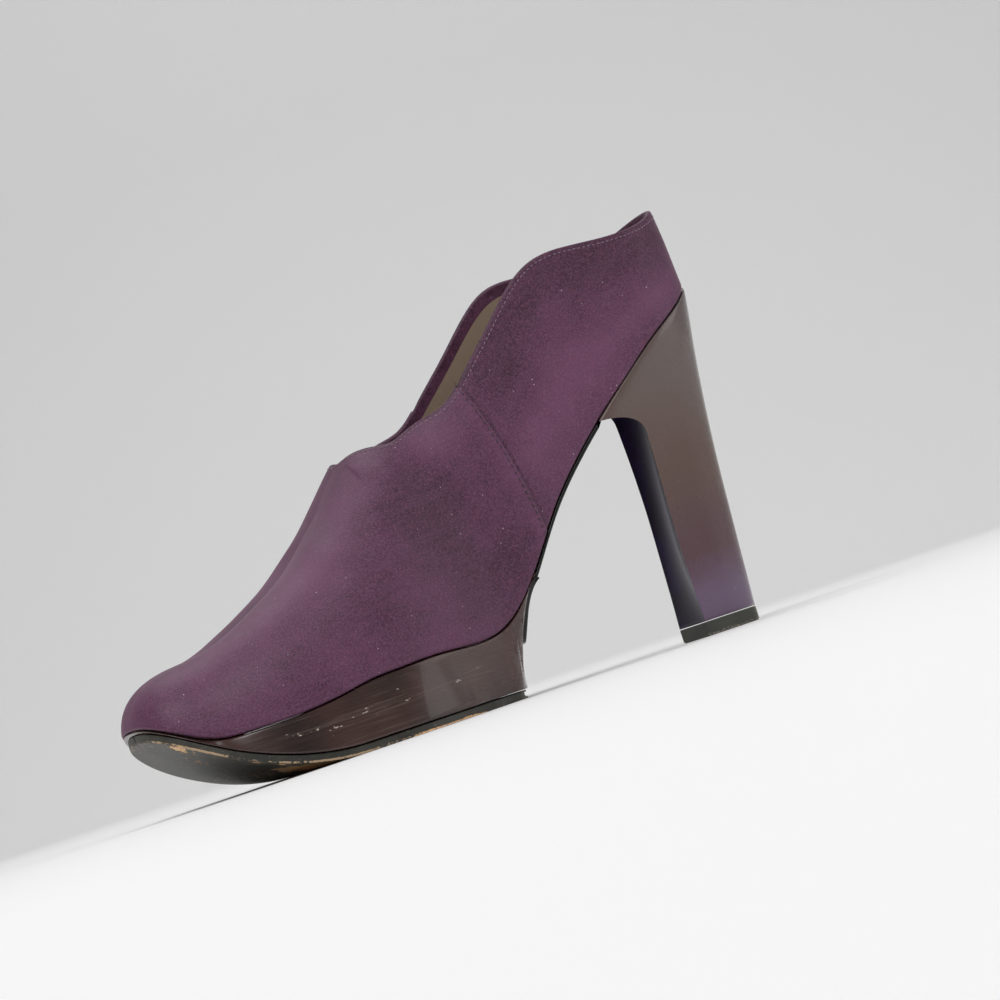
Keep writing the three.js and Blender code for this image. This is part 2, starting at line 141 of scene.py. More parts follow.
def upperPoint(x, side, angle, depth):  # angle runs up the section's arc, depth is measured into the wall
    x, angle, depth = np.broadcast_arrays(np.asarray(x, float), angle, depth)
    back, front = np.clip(x - 0.05, 0, length), np.clip(x + 0.05, 0, length)
    runX = front - back
    runY = centreLine(front) + side * featherWidth(front) - centreLine(back) - side * featherWidth(back)
    size = np.hypot(runX, runY)
    outX, outY = -runY * side / size, runX * side / size
    ends = (x <= 0) | (x >= length)
    outX = np.where(ends, np.where(x <= 0, -1.0, 1.0), outX)
    outY = np.where(ends, 0.0, outY)
    bulge = shoe["counterBulge"] * (1 - x / length)
    swell = bulge * np.sin(2 * angle) * np.cos(angle) - depth
    ridgeX = length * column["ridge"](x / length)
    upward = np.sin(angle) ** shoe["squareness"]
    inward = mix(1 - np.clip(np.cos(angle), 0, 1) ** shoe["squareness"], upward, shoe["lean"])
    footY = centreLine(x) + side * featherWidth(x)
    tall = shoe["crownHeight"] * column["crown"](x / length) - depth
    return np.stack([
        mix(x + outX * swell, ridgeX, inward),
        mix(footY + outY * swell, centreLine(ridgeX), inward),
        featherHeight(x) + tall * upward,
    ], -1)


def rimAngle(x):  # where the collar cuts the section at x
    throatEnd, throatStart = shoe["throatEnd"] * length, shoe["throatStart"] * length
    opened = endRounding(throatEnd - x, throatEnd - throatStart, 2)
    cut = np.minimum(1, column["rim"](x / length) / column["crown"](x / length))
    return mix(math.pi / 2, np.arcsin(cut ** (1 / shoe["squareness"])), opened)


def latticeNoise(x, y, cell, seed):  # smooth values from 0 to 1 on a lattice of that cell size
    table = np.random.default_rng(seed).random((64, 64))
    u, v = np.asarray(x) / cell, np.asarray(y) / cell
    i, j = np.floor(u).astype(int), np.floor(v).astype(int)
    s, t = u - i, v - j
    s, t = s * s * (3 - 2 * s), t * t * (3 - 2 * t)
    corner = lambda a, b: table[(i + a) % 64, (j + b) % 64]
    return mix(mix(corner(0, 0), corner(1, 0), s), mix(corner(0, 1), corner(1, 1), s), t)


# How far the shoe's own millimetres lie from the frame's, read off the top piece.
topPiece = {
    "height": 4.6, "width": 22.4, "length": 22.6, "back": 9.4, "side": -1.4, "skew": 0.066,
    "fullAt": 0.62, "roundness": 2.3, "edge": 0.7, "wornReach": 6.0,
    "along": 44, "levels": 9,
}
lowTop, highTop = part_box("top_piece")
frameShift = np.array([
    lowTop.x * 1000 - topPiece["back"],
    (lowTop.y + highTop.y) * 500 - topPiece["side"],
    0.0,
])


def makePiece(name, grids, material, uvs=None, marks=None):
    # A mesh from grids of points in millimetres. The grids are joined where they touch.
    spots, faces, flatUv, start = [], [], [], 0
    for k, grid in enumerate(grids):
        rows, cols = grid.shape[:2]
        index = start + np.arange(rows * cols).reshape(rows, cols)
        quads = np.stack([index[:-1, :-1], index[1:, :-1], index[1:, 1:], index[:-1, 1:]], -1)
        faces.append(quads.reshape(-1, 4))
        spots.append(grid.reshape(-1, 3))
        if uvs is not None:
            flatUv.append(uvs[k].reshape(-1, 2))
        start += rows * cols
    spots = (np.concatenate(spots) + frameShift) / 1000
    faces = np.concatenate(faces)
    mesh = bpy.data.meshes.new(name)
    mesh.from_pydata(spots.tolist(), [], faces.tolist())
    if uvs is not None:
        layer = mesh.uv_layers.new(name="alongAndUp")
        layer.data.foreach_set("uv", np.concatenate(flatUv)[faces.reshape(-1)].astype(np.float32).reshape(-1))
    for mark, values in (marks or {}).items():
        attribute = mesh.attributes.new(mark, "FLOAT", "POINT")
        flat = np.concatenate([v.reshape(-1) for v in values])
        attribute.data.foreach_set("value", flat.astype(np.float32))
    work = bmesh.new()
    work.from_mesh(mesh)
    bmesh.ops.remove_doubles(work, verts=work.verts, dist=2e-6)
    loose = [v for v in work.verts if not v.link_faces]
    bmesh.ops.delete(work, geom=loose, context="VERTS")
    if work.calc_volume(signed=True) < 0:
        bmesh.ops.reverse_faces(work, faces=work.faces)
    work.to_mesh(mesh)
    work.free()
    mesh.polygons.foreach_set("use_smooth", np.ones(len(mesh.polygons), bool))
    mesh.materials.append(material)
    piece = bpy.data.objects.new(name, mesh)
    bpy.context.scene.collection.objects.link(piece)
    return piece


def blockLoops(place, along, across, up, radius):
    # Loops around a bent block, one for each value of along, with the four long edges rounded.
    a = np.asarray(along, float)[:, None]
    ones = np.ones_like(a)
    wide = np.linalg.norm(place(a, ones, 0 * a) - place(a, -ones, 0 * a), axis=-1) / 2
    tall = np.linalg.norm(place(a, ones, ones) - place(a, ones, 0 * a), axis=-1)
    size = np.minimum(radius, np.minimum(0.45 * tall, 0.9 * wide))
    inA, inU = size / np.maximum(wide, 1e-6), size / np.maximum(tall, 1e-6)
    turn = np.linspace(0, 1, 7)[None, 1:-1, None]
    flat, rise = np.asarray(across)[None, :], np.asarray(up)[None, :]

    def corner(first, middle, last):
        return (1 - turn) ** 2 * first + 2 * turn * (1 - turn) * middle + turn ** 2 * last

    upEdge, acrossEdge = mix(inU, 1 - inU, rise), flat * (1 - inA)
    parts = [
        place(a, acrossEdge, 0 * flat),
        corner(place(a, 1 - inA, 0 * a), place(a, ones, 0 * a), place(a, ones, inU)),
        place(a, 1 + 0 * rise, upEdge),
        corner(place(a, ones, 1 - inU), place(a, ones, ones), place(a, 1 - inA, ones)),
        place(a, acrossEdge[:, ::-1], 1 + 0 * flat),
        corner(place(a, inA - 1, ones), place(a, -ones, ones), place(a, -ones, 1 - inU)),
        place(a, -1 + 0 * rise, upEdge[:, ::-1]),
        corner(place(a, -ones, inU), place(a, -ones, 0 * a), place(a, inA - 1, 0 * a)),
    ]
    loops = np.concatenate(parts, 1)
    return np.concatenate([loops, loops[:, :1]], 1)


def closeEnd(loop, steps):  # rings that shrink from a loop to its middle
    middle = loop[:-1].mean(0)
    share = np.linspace(0, 1, steps + 1)[:, None, None]
    return mix(loop[None], middle[None, None], share)


def closedLoops(loops, steps=3):
    return [loops, closeEnd(loops[0], steps)[::-1], closeEnd(loops[-1], steps)]


print("stage: materials")


def linear(hexColour):  # sRGB hex to the linear values that Blender wants
    parts = [int(hexColour[i:i + 2], 16) / 255 for i in (1, 3, 5)]
    return (*[c / 12.92 if c <= 0.04045 else ((c + 0.055) / 1.055) ** 2.4 for c in parts], 1)


def perMetre(millimetres):  # a texture's scale for a pattern of that real size
    return 1000 / millimetres


def addNode(tree, kind, settings, inputs):
    node = tree.nodes.new(kind)
    for key, value in settings.items():
        setattr(node, key, value)
    for key, value in inputs.items():
        if isinstance(value, bpy.types.NodeSocket):
            tree.links.new(value, node.inputs[key])
        else:
            node.inputs[key].default_value = value
    return node


def startMaterial(name):
    material = bpy.data.materials.new(name)
    material.use_nodes = True
    material.node_tree.nodes.clear()
    tree = material.node_tree
    coords = addNode(tree, "ShaderNodeTexCoord", {}, {})
    return material, tree, coords


def coated(material, tree, inputs):
    surface = addNode(tree, "ShaderNodeBsdfPrincipled", {}, inputs)
    addNode(tree, "ShaderNodeOutputMaterial", {}, {"Surface": surface.outputs["BSDF"]})
    return material


# Each of these adds one node and gives back its result. Sizes of patterns are in millimetres.
def noise(tree, place, size, detail=2.0, roughness=0.5, distortion=0.0):
    return addNode(tree, "ShaderNodeTexNoise", {}, {
        "Vector": place, "Scale": perMetre(size), "Detail": detail, "Roughness": roughness,
        "Distortion": distortion}).outputs["Fac"]


def ramp(tree, value, fromLow, fromHigh, low=0.0, high=1.0):
    return addNode(tree, "ShaderNodeMapRange", {}, {
        "Value": value, "From Min": fromLow, "From Max": fromHigh,
        "To Min": low, "To Max": high}).outputs["Result"]


def blend(tree, share, first, second):
    return addNode(tree, "ShaderNodeMix", {"data_type": "RGBA"}, {0: share, 6: first, 7: second}).outputs[2]


def combine(tree, operation, *values):
    return addNode(tree, "ShaderNodeMath", {"operation": operation}, dict(enumerate(values))).outputs["Value"]


def dent(tree, strength, distance, height, normal=None):
    inputs = {"Strength": strength, "Distance": distance, "Height": height}
    if normal is not None:
        inputs["Normal"] = normal
    return addNode(tree, "ShaderNodeBump", {}, inputs).outputs["Normal"]


def marked(tree, name):
    return addNode(tree, "ShaderNodeAttribute", {"attribute_name": name}, {}).outputs["Fac"]


# Duchess satin, aubergine, woven: a soft broad gleam, painted light and shade in mauve and deep plum patches,
# and a fine salt and pepper of reddish and violet yarns. The yarn is finer than a render shows, so its grain
# is drawn coarser than it is.
satin = {
    "deep": "#381d2f", "mid": "#683f5c", "light": "#8f6485", "red": "#85475a", "dust": "#cdbcc8",
    "grain": 0.55, "mottle": 24.0, "cloud": 7.0, "slub": 2.6, "dustCell": 2.4, "paintedLightShare": 0.62,
    "grainDepth": 0.00009, "creaseDepth": 0.0006,
}


def satinFabric():
    material, tree, coords = startMaterial("aubergine_satin")
    place = coords.outputs["Object"]
    mottle = noise(tree, place, satin["mottle"], 3.0, 0.55)
    cloud = noise(tree, place, satin["cloud"], 4.0, 0.6)
    grain = noise(tree, place, satin["grain"], 1.5, 0.8)
    aside = addNode(tree, "ShaderNodeMapping", {}, {"Vector": place, "Location": (0.37, 0.11, 0.23)})
    redGrain = noise(tree, aside.outputs["Vector"], satin["grain"] * 1.3, 1.5, 0.8)
    longYarn = addNode(tree, "ShaderNodeMapping", {}, {
        "Vector": coords.outputs["UV"], "Scale": (0.12, 1.0, 1.0)})
    slub = noise(tree, longYarn.outputs["Vector"], satin["slub"], 3.0)
    # painted light and shade: an attribute on the upper lightens and darkens the satin's tone in patches,
    # along the seam and below the collar
    paintedLightAndShade = marked(tree, "paintedLightAndShade")
    paintedLightSum = combine(tree, "MULTIPLY_ADD", paintedLightAndShade, satin["paintedLightShare"], mottle)
    cloudSum = combine(tree, "MULTIPLY_ADD", cloud, 0.35, paintedLightSum)
    tone = ramp(tree, cloudSum, 0.34, 1.07)
    base = blend(tree, tone, linear(satin["deep"]), linear(satin["mid"]))
    speck = ramp(tree, grain, 0.42, 0.72, high=0.42)
    speckled = blend(tree, speck, base, linear(satin["light"]))
    redShare = ramp(tree, redGrain, 0.5, 0.74, high=0.4)
    reddened = blend(tree, redShare, speckled, linear(satin["red"]))
    slubShare = ramp(tree, slub, 0.35, 0.7, 0.0, 0.3)
    slubbed = blend(tree, slubShare, reddened, linear(satin["mid"]))
    dustCells = addNode(tree, "ShaderNodeTexVoronoi", {}, {
        "Vector": place, "Scale": perMetre(satin["dustCell"])})
    dustPick = addNode(tree, "ShaderNodeSeparateColor", {}, {"Color": dustCells.outputs["Color"]})
    dustSum = combine(tree, "MULTIPLY_ADD", dustPick.outputs["Red"], 0.2, -0.1)
    dustNear = combine(tree, "SUBTRACT", dustSum, dustCells.outputs["Distance"])
    dustShare = ramp(tree, dustNear, 0.0, 0.03, high=0.8)
    colour = blend(tree, dustShare, slubbed, linear(satin["dust"]))
    rough = ramp(tree, grain, 0.0, 1.0, 0.4, 0.58)
    softBump = dent(tree, 0.35, satin["creaseDepth"], cloud)
    grainBump = dent(tree, 0.8, satin["grainDepth"], grain, softBump)
    return coated(material, tree, {
        "Base Color": colour, "Roughness": rough, "Normal": grainBump, "IOR": 1.5,
        "Specular IOR Level": 0.34, "Sheen Weight": 0.16, "Sheen Roughness": 0.3,
        "Sheen Tint": linear("#d8a5bd"), "Anisotropic": 0.4})


# Kid lining and sock, vegetable tanned, matt with fine pores and soft creases.
def liningLeather(name, pale, shade):
    material, tree, coords = startMaterial(name)
    place = coords.outputs["Object"]
    cloud = noise(tree, place, 18, 5.0, 0.6)
    pores = addNode(tree, "ShaderNodeTexVoronoi", {}, {"Vector": place, "Scale": perMetre(0.7)})
    colour = blend(tree, cloud, linear(pale), linear(shade))
    bump = dent(tree, 0.4, 0.00008, pores.outputs["Distance"])
    return coated(material, tree, {"Base Color": colour, "Roughness": 0.62, "Normal": bump, "IOR": 1.5})


# Polished plum lacquer over the platform: a clear coat, faint drawn lines, and pale nicks half way up.
platformLacquer = {
    "deep": "#22130f", "warm": "#4d322c", "scratch": "#a08f86", "pale": "#cbbdb2",
    "cloud": 26.0, "line": 0.75,
    "nick": 1.5, "horn": "#4c211d", "wave": 8.0, "waveDepth": 0.0014,
}


def glossLacquer():
    material, tree, coords = startMaterial("plum_lacquer")
    place = coords.outputs["Object"]
    cloud = noise(tree, place, platformLacquer["cloud"], 4.0)
    drawn = addNode(tree, "ShaderNodeMapping", {}, {"Vector": place, "Scale": (0.03, 0.03, 1.0)})
    lines = noise(tree, drawn.outputs["Vector"], platformLacquer["line"], 3.0, 0.75)
    nickDrawn = addNode(tree, "ShaderNodeMapping", {}, {"Vector": place, "Scale": (0.4, 0.4, 1.0)})
    nickCells = noise(tree, nickDrawn.outputs["Vector"], platformLacquer["nick"], 3.0, 0.8)
    rubbed = marked(tree, "rubbed")
    tone = ramp(tree, cloud, 0.3, 0.72)
    base = blend(tree, tone, linear(platformLacquer["deep"]), linear(platformLacquer["warm"]))
    lineSum = combine(tree, "MULTIPLY_ADD", rubbed, 0.1, lines)
    lineShare = ramp(tree, lineSum, 0.6, 0.8, high=0.2)
    lined = blend(tree, lineShare, base, linear(platformLacquer["scratch"]))
    nickSum = combine(tree, "MULTIPLY_ADD", rubbed, 0.13, nickCells)
    nicks = ramp(tree, nickSum, 0.735, 0.77, high=0.85)
    horn = marked(tree, "horn")
    wave = noise(tree, place, platformLacquer["wave"], 1.0, 0.5, 1.2)
    hornSum = combine(tree, "MULTIPLY", horn, wave)
    hornTint = blend(tree, hornSum, lined, linear(platformLacquer["horn"]))
    colour = blend(tree, nicks, hornTint, linear(platformLacquer["pale"]))
    rough = ramp(tree, lines, 0.3, 0.8, 0.2, 0.42)
    hornBump = dent(tree, 0.6, platformLacquer["waveDepth"], hornSum)
    bump = dent(tree, 0.25, 0.00004, lines, hornBump)
    return coated(material, tree, {
        "Base Color": colour, "Roughness": rough, "Normal": bump, "IOR": 1.48, "Coat Weight": 0.5,
        "Coat Roughness": 0.07, "Coat Normal": hornBump})


# Black patent leather on the waist: a wet film over leather, so reflections run in slow waves.
def patentLeather():
    material, tree, coords = startMaterial("black_patent_leather")
    place = coords.outputs["Object"]
    swell = noise(tree, place, 16, 1.0)
    dust = noise(tree, place, 1.1, 3.0, 0.7)
    dustShare = ramp(tree, dust, 0.68, 0.78, high=0.2)
    colour = blend(tree, dustShare, linear("#050606"), linear("#5c5f57"))
    bump = dent(tree, 0.35, 0.0006, swell)
    return coated(material, tree, {
        "Base Color": colour, "Roughness": 0.2, "Normal": bump, "IOR": 1.46, "Coat Weight": 0.35,
        "Coat Roughness": 0.05, "Coat Tint": linear("#e9efe2")})


# Cast resin heel, polished: violet so deep that its front looks black. The rounded sides carry a painted
# reflection: taupe, going brown lower down and lavender above the top piece.
heelTints = {
    "front": "#1d0734", "frontDeep": "#0b0213",
    "sides": [(0.004, "#5f4a62"), (0.016, "#664f6b"), (0.034, "#502f38"), (0.06, "#573c33"),
              (0.095, "#60514c"), (0.118, "#675c5c")],
    "smear": 11.0,
}


def castResin():
    material, tree, coords = startMaterial("violet_cast_resin")
    place = coords.outputs["Object"]
    axes = addNode(tree, "ShaderNodeSeparateXYZ", {}, {"Vector": place})
    top = heelTints["sides"][-1][0]
    level = combine(tree, "DIVIDE", axes.outputs["Z"], top)
    smear = noise(tree, place, heelTints["smear"], 4.0, 0.6)
    waver = combine(tree, "MULTIPLY_ADD", smear, 0.09, level)
    # painted reflection on the heel's sides, banded by height
    paintedReflectionRamp = addNode(tree, "ShaderNodeValToRGB", {}, {"Fac": waver})
    paintedReflectionRamp.color_ramp.interpolation = "EASE"
    stops = paintedReflectionRamp.color_ramp.elements
    for k, (height, tint) in enumerate(heelTints["sides"]):
        stop = stops[k] if k < 1 else stops[-1] if height == top else stops.new(height / top)
        stop.position, stop.color = height / top, linear(tint)
    front = marked(tree, "breast")
    depth = ramp(tree, smear, 0.4, 0.65)
    violet = blend(tree, depth, linear(heelTints["front"]), linear(heelTints["frontDeep"]))
    colour = blend(tree, front, paintedReflectionRamp.outputs["Color"], violet)
    rough = ramp(tree, smear, 0.4, 0.75, 0.22, 0.34)
    return coated(material, tree, {
        "Base Color": colour, "Roughness": rough, "IOR": 1.5, "Coat Weight": 0.32, "Coat Roughness": 0.08,
        "Coat IOR": 1.5})


# The hollow front of the same resin, as it came from the mould: hardly any gleam over the violet.
def moulded(name):
    material, tree, coords = startMaterial(name)
    place = coords.outputs["Object"]
    depth = noise(tree, place, heelTints["smear"], 3.0, 0.55)
    share = ramp(tree, depth, 0.38, 0.66)
    colour = blend(tree, share, linear(heelTints["front"]), linear(heelTints["frontDeep"]))
    return coated(material, tree, {
        "Base Color": colour, "Roughness": 0.16, "IOR": 1.33, "Specular IOR Level": 0.22,
        "Specular Tint": linear("#b79be0")})


# Sole leather with a grey-green painted finish, worn through to the tan fibre across the ball.
soleFinish = {
    "paint": "#272721", "paintPale": "#48463f", "fibre": "#dfa76f", "fibrePale": "#fddcb2",
    "fibreWarm": "#eaa052", "fibreGrey": "#c4a283", "stain": "#5f4130", "rim": "#c0a382", "dust": "#8b8a80",
}


def soleLeather():
    material, tree, coords = startMaterial("painted_sole_leather")
    place = coords.outputs["Object"]
    worn = marked(tree, "wornDepth")
    speckle = marked(tree, "speckShare")
    rim = marked(tree, "rimRub")
    ragged = noise(tree, place, 5.5, 9.0, 0.68)
    raggedReach = ramp(tree, ragged, 0.25, 0.75, -5.0, 5.0)
    crumbs = noise(tree, place, 1.3, 3.0, 0.8)
    crumbReach = ramp(tree, crumbs, 0.25, 0.75, -2.2, 2.2)
    edgeSum = combine(tree, "ADD", raggedReach, crumbReach)
    edge = combine(tree, "ADD", worn, edgeSum)
    wornShare = ramp(tree, edge, -0.25, 0.35)
    speckNoise = noise(tree, place, 1.5, 4.0, 0.8)
    speckSum = combine(tree, "ADD", speckNoise, speckle)
    speckMask = ramp(tree, speckSum, 0.735, 0.76)
    bare = combine(tree, "MAXIMUM", wornShare, speckMask)
    fibreNoise = noise(tree, place, 1.1, 5.0, 0.85)
    warmNoise = noise(tree, place, 20, 4.0, 0.55)
    fibreShare = ramp(tree, fibreNoise, 0.41, 0.58)
    fibre = blend(tree, fibreShare, linear(soleFinish["fibre"]), linear(soleFinish["fibrePale"]))
    warmShare = ramp(tree, warmNoise, 0.5, 0.72, high=0.75)
    warm = blend(tree, warmShare, fibre, linear(soleFinish["fibreWarm"]))
    stainShare = ramp(tree, crumbs, 0.4, 0.31, high=0.85)
    stained = blend(tree, stainShare, warm, linear(soleFinish["stain"]))
    greyShare = ramp(tree, warmNoise, 0.47, 0.34, high=0.45)
    fibreColour = blend(tree, greyShare, stained, linear(soleFinish["fibreGrey"]))
    paintNoise = noise(tree, place, 17, 8.0, 0.68)
    paintShare = ramp(tree, paintNoise, 0.35, 0.68)
    flat = blend(tree, paintShare, linear(soleFinish["paint"]), linear(soleFinish["paintPale"]))
    dustShare = ramp(tree, speckNoise, 0.6, 0.7, high=0.5)
    paint = blend(tree, dustShare, flat, linear(soleFinish["dust"]))
    rimNoise = combine(tree, "MULTIPLY_ADD", crumbs, 1.8, rim)
    rimShare = ramp(tree, rimNoise, 1.6, 1.72, high=0.85)
    painted = blend(tree, rimShare, paint, linear(soleFinish["rim"]))
    colour = blend(tree, bare, painted, fibreColour)
    rough = ramp(tree, bare, 0.0, 1.0, 0.46, 0.92)
    depth = combine(tree, "MULTIPLY_ADD", bare, -1.0, 1.0)
    fibreDepth = combine(tree, "MULTIPLY", bare, fibreNoise)
    height = combine(tree, "ADD", depth, fibreDepth)
    bump = dent(tree, 0.8, 0.00022, height)
    return coated(material, tree, {"Base Color": colour, "Roughness": rough, "Normal": bump, "IOR": 1.48})


# Moulded rubber top piece, filled black: matt and dusty, scuffed pale at the rounded back.
def topPieceRubber():
    material, tree, coords = startMaterial("scuffed_top_piece_rubber")
    place = coords.outputs["Object"]
    scuff = marked(tree, "scuff")
    grain = noise(tree, place, 0.6, 4.0, 0.75)
    cloud = noise(tree, place, 7, 4.0)
    base = blend(tree, cloud, linear("#33342f"), linear("#4d4e47"))
    mask = combine(tree, "MULTIPLY_ADD", scuff, 0.26, grain)
    pale = ramp(tree, mask, 0.62, 0.82, high=0.85)
    colour = blend(tree, pale, base, linear("#a59f8d"))
    bump = dent(tree, 0.7, 0.00015, grain)
    return coated(material, tree, {"Base Color": colour, "Roughness": 0.78, "Normal": bump, "IOR": 1.52})


# Twisted polyester sewing thread, slightly glossy.
def sewingThread(name, tint):
    material, tree, coords = startMaterial(name)
    strand = noise(tree, coords.outputs["Object"], 0.3, 2.0)
    colour = blend(tree, strand, linear(tint), linear("#2a1824"))
    return coated(material, tree, {"Base Color": colour, "Roughness": 0.5, "IOR": 1.5, "Sheen Weight": 0.3})


print("stage: satin upper")

upperForm = {
    "quarterSteps": 96, "collarSteps": 84, "vampSteps": 100, "rows": 72, "rowPower": 1.7,
    "seamFoot": 0.363, "seamRun": 7.0, "seamStep": 0.55, "seamRound": 0.45, "seamHollow": 0.22,
    "tuck": 1.2, "insideDepth": 1.6, "rimSteps": 9, "insideSteps": 27, "insidePower": 1.5, "liningSteps": 40,
    "liningThickness": 0.16, "liningTop": 0.965, "proudFrom": 0.93, "proudTo": 0.945, "proud": 0.15,
}
# Soft troughs and ridges. from and to are an x in millimetres and a girth place: 1 is the
# inner side's feather line, 0 the ridge or collar and -1 the outer side's feather line. A negative depth is
# a ridge.
creases = [
    {"from": (118, 0.22), "to": (108, 0.7), "width": 6.0, "depth": 0.55},
    {"from": (128, 0.2), "to": (117, 0.66), "width": 5.0, "depth": -0.35},
    {"from": (138, 0.2), "to": (127, 0.7), "width": 6.0, "depth": 0.5},
    {"from": (152, 0.03), "to": (143, 0.6), "width": 7.5, "depth": 0.4},
    {"from": (168, 0.25), "to": (160, 0.7), "width": 7.0, "depth": 0.25},
    {"from": (119, -0.2), "to": (110, -0.66), "width": 6.0, "depth": 0.5},
    {"from": (140, -0.2), "to": (130, -0.7), "width": 6.5, "depth": 0.45},
    {"from": (154, -0.06), "to": (146, -0.6), "width": 7.5, "depth": 0.35},
    {"from": (60, 0.12), "to": (84, 0.45), "width": 9.0, "depth": 0.8},
    {"from": (40, 0.16), "to": (60, 0.52), "width": 8.0, "depth": -0.5},
    {"from": (20, 0.15), "to": (44, 0.7), "width": 8.0, "depth": 0.45},
    {"from": (62, -0.12), "to": (84, -0.45), "width": 9.0, "depth": 0.7},
    {"from": (34, -0.15), "to": (56, -0.6), "width": 8.0, "depth": -0.4},
    {"from": (98, 0.30), "to": (104, 0.75), "width": 6.0, "depth": 0.4},
    {"from": (100, -0.30), "to": (106, -0.75), "width": 6.0, "depth": 0.35},
]
# Painted light and shade on the satin, patches drawn lighter or darker: middle, reach along and round, and
# how much.
paintedLightPatches = [
    {"at": (118, 0.5), "reach": (20, 23), "tone": -0.72}, {"at": (96, 0.85), "reach": (14, 12), "tone": -0.6},
    {"at": (102, 0.15), "reach": (10, 10), "tone": 0.45}, {"at": (160, 0.4), "reach": (26, 20), "tone": 0.55},
    {"at": (200, 0.4), "reach": (20, 18), "tone": 0.35}, {"at": (62, 0.75), "reach": (26, 13), "tone": 0.65},
    {"at": (25, 0.8), "reach": (22, 10), "tone": 0.55}, {"at": (48, 0.15), "reach": (34, 19), "tone": -0.66},
    {"at": (8, 0.3), "reach": (14, 16), "tone": -0.55},
    {"at": (122, -0.5), "reach": (20, 23), "tone": -0.6},
    {"at": (165, -0.4), "reach": (26, 20), "tone": 0.45},
    {"at": (60, -0.75), "reach": (26, 13), "tone": 0.5},
    {"at": (45, -0.15), "reach": (34, 19), "tone": -0.55},
]
seamFoot = upperForm["seamFoot"] * length
throatEnd = shoe["throatEnd"] * length
girthLength = 75.0  # rough length of a side's arc, for the creases


def upperStations():
    quarter = seamFoot * (1 - np.cos(np.linspace(0, math.pi / 2, upperForm["quarterSteps"])))
    quarter = quarter[quarter < seamFoot - 1.2]
    seam = seamFoot + np.array([-1.0, -0.6, -0.3, -0.12, 0, 0.04, 0.12, 0.25, 0.45, 0.7, 1.1, 1.7])
    collar = mix(seamFoot + 2.5, throatEnd, np.sin(np.linspace(0, math.pi / 2, upperForm["collarSteps"])))
    vamp = mix(throatEnd, length, np.sin(np.linspace(0, math.pi / 2, upperForm["vampSteps"])[1:]))
    return np.concatenate([quarter, seam, collar, vamp]), len(quarter) + len(seam) + len(collar) - 1


# the painted light and shade of the patches, summed at each point
def paintedLightTone(x, girth):
    total = np.zeros(np.broadcast(x, girth).shape)
    for patch in paintedLightPatches:
        awayX = (x - patch["at"][0]) / patch["reach"][0]
        awayY = (girth - patch["at"][1]) * girthLength / patch["reach"][1]
        total = total + patch["tone"] * np.exp(-awayX ** 2 - awayY ** 2)
    return total


def creaseDepth(x, girth):
    total = np.zeros(np.broadcast(x, girth).shape)
    for crease in creases:
        startX, startY = crease["from"][0], crease["from"][1] * girthLength
        runX, runY = crease["to"][0] - startX, crease["to"][1] * girthLength - startY
        spotX, spotY = x - startX, girth * girthLength - startY
        size = math.hypot(runX, runY)
        share = (spotX * runX + spotY * runY) / size ** 2
        away = (spotX * runY - spotY * runX) / size
        fade = smooth(share, -0.15, 0.3) * (1 - smooth(share, 0.7, 1.15))
        total = total + crease["depth"] * fade * np.exp(-(away / crease["width"]) ** 2)
    return total


stations, throatIndex = upperStations()
rowShares = np.linspace(0, 1, upperForm["rows"] + 1) ** upperForm["rowPower"]


def slantedStations(shares):  # the sections lean forward around the side seam
    near = np.clip(1 - np.abs(stations - seamFoot) / (5 * upperForm["seamRun"]), 0, 1)
    return stations[:, None] + (upperForm["seamRun"] * near)[:, None] * shares[None, :]


def outerSkin(side, lift=0.0):
    at = slantedStations(rowShares)
    angle = rimAngle(at) * rowShares[None, :]
    past = np.clip((stations - seamFoot) / upperForm["seamRound"], 0, 1)
    lap = upperForm["seamStep"] * np.sqrt(1 - (1 - past) ** 2)
    hollow = upperForm["seamHollow"] * np.exp(-((stations - seamFoot + 0.8) / 0.9) ** 2)
    climb = (shoe["crownHeight"] * column["crown"](at / length)) * np.sin(angle) ** shoe["squareness"]
    under = np.clip(1 - climb / upperForm["tuck"], 0, 1)
    tuck = upperForm["tuck"] * (1 - np.sqrt(1 - under ** 2))
    slack = 0.16 * (latticeNoise(at, side * climb, 9.0, 5) - 0.5) * smooth(climb, 1, 8)
    # pull lines where the satin is drawn over the edge
    pull = 0.1 * np.sin(at * 1.9 + 3 * latticeNoise(at, 0 * at, 14, 7))
    pull = pull * np.exp(-climb / 3.5) * smooth(climb, 0.2, 1.2)
    folds = creaseDepth(at, side * (1 - rowShares)[None, :])
    depth = tuck + folds - lap[:, None] + hollow[:, None] + slack + pull
    return upperPoint(at, side, angle, depth - lift), at


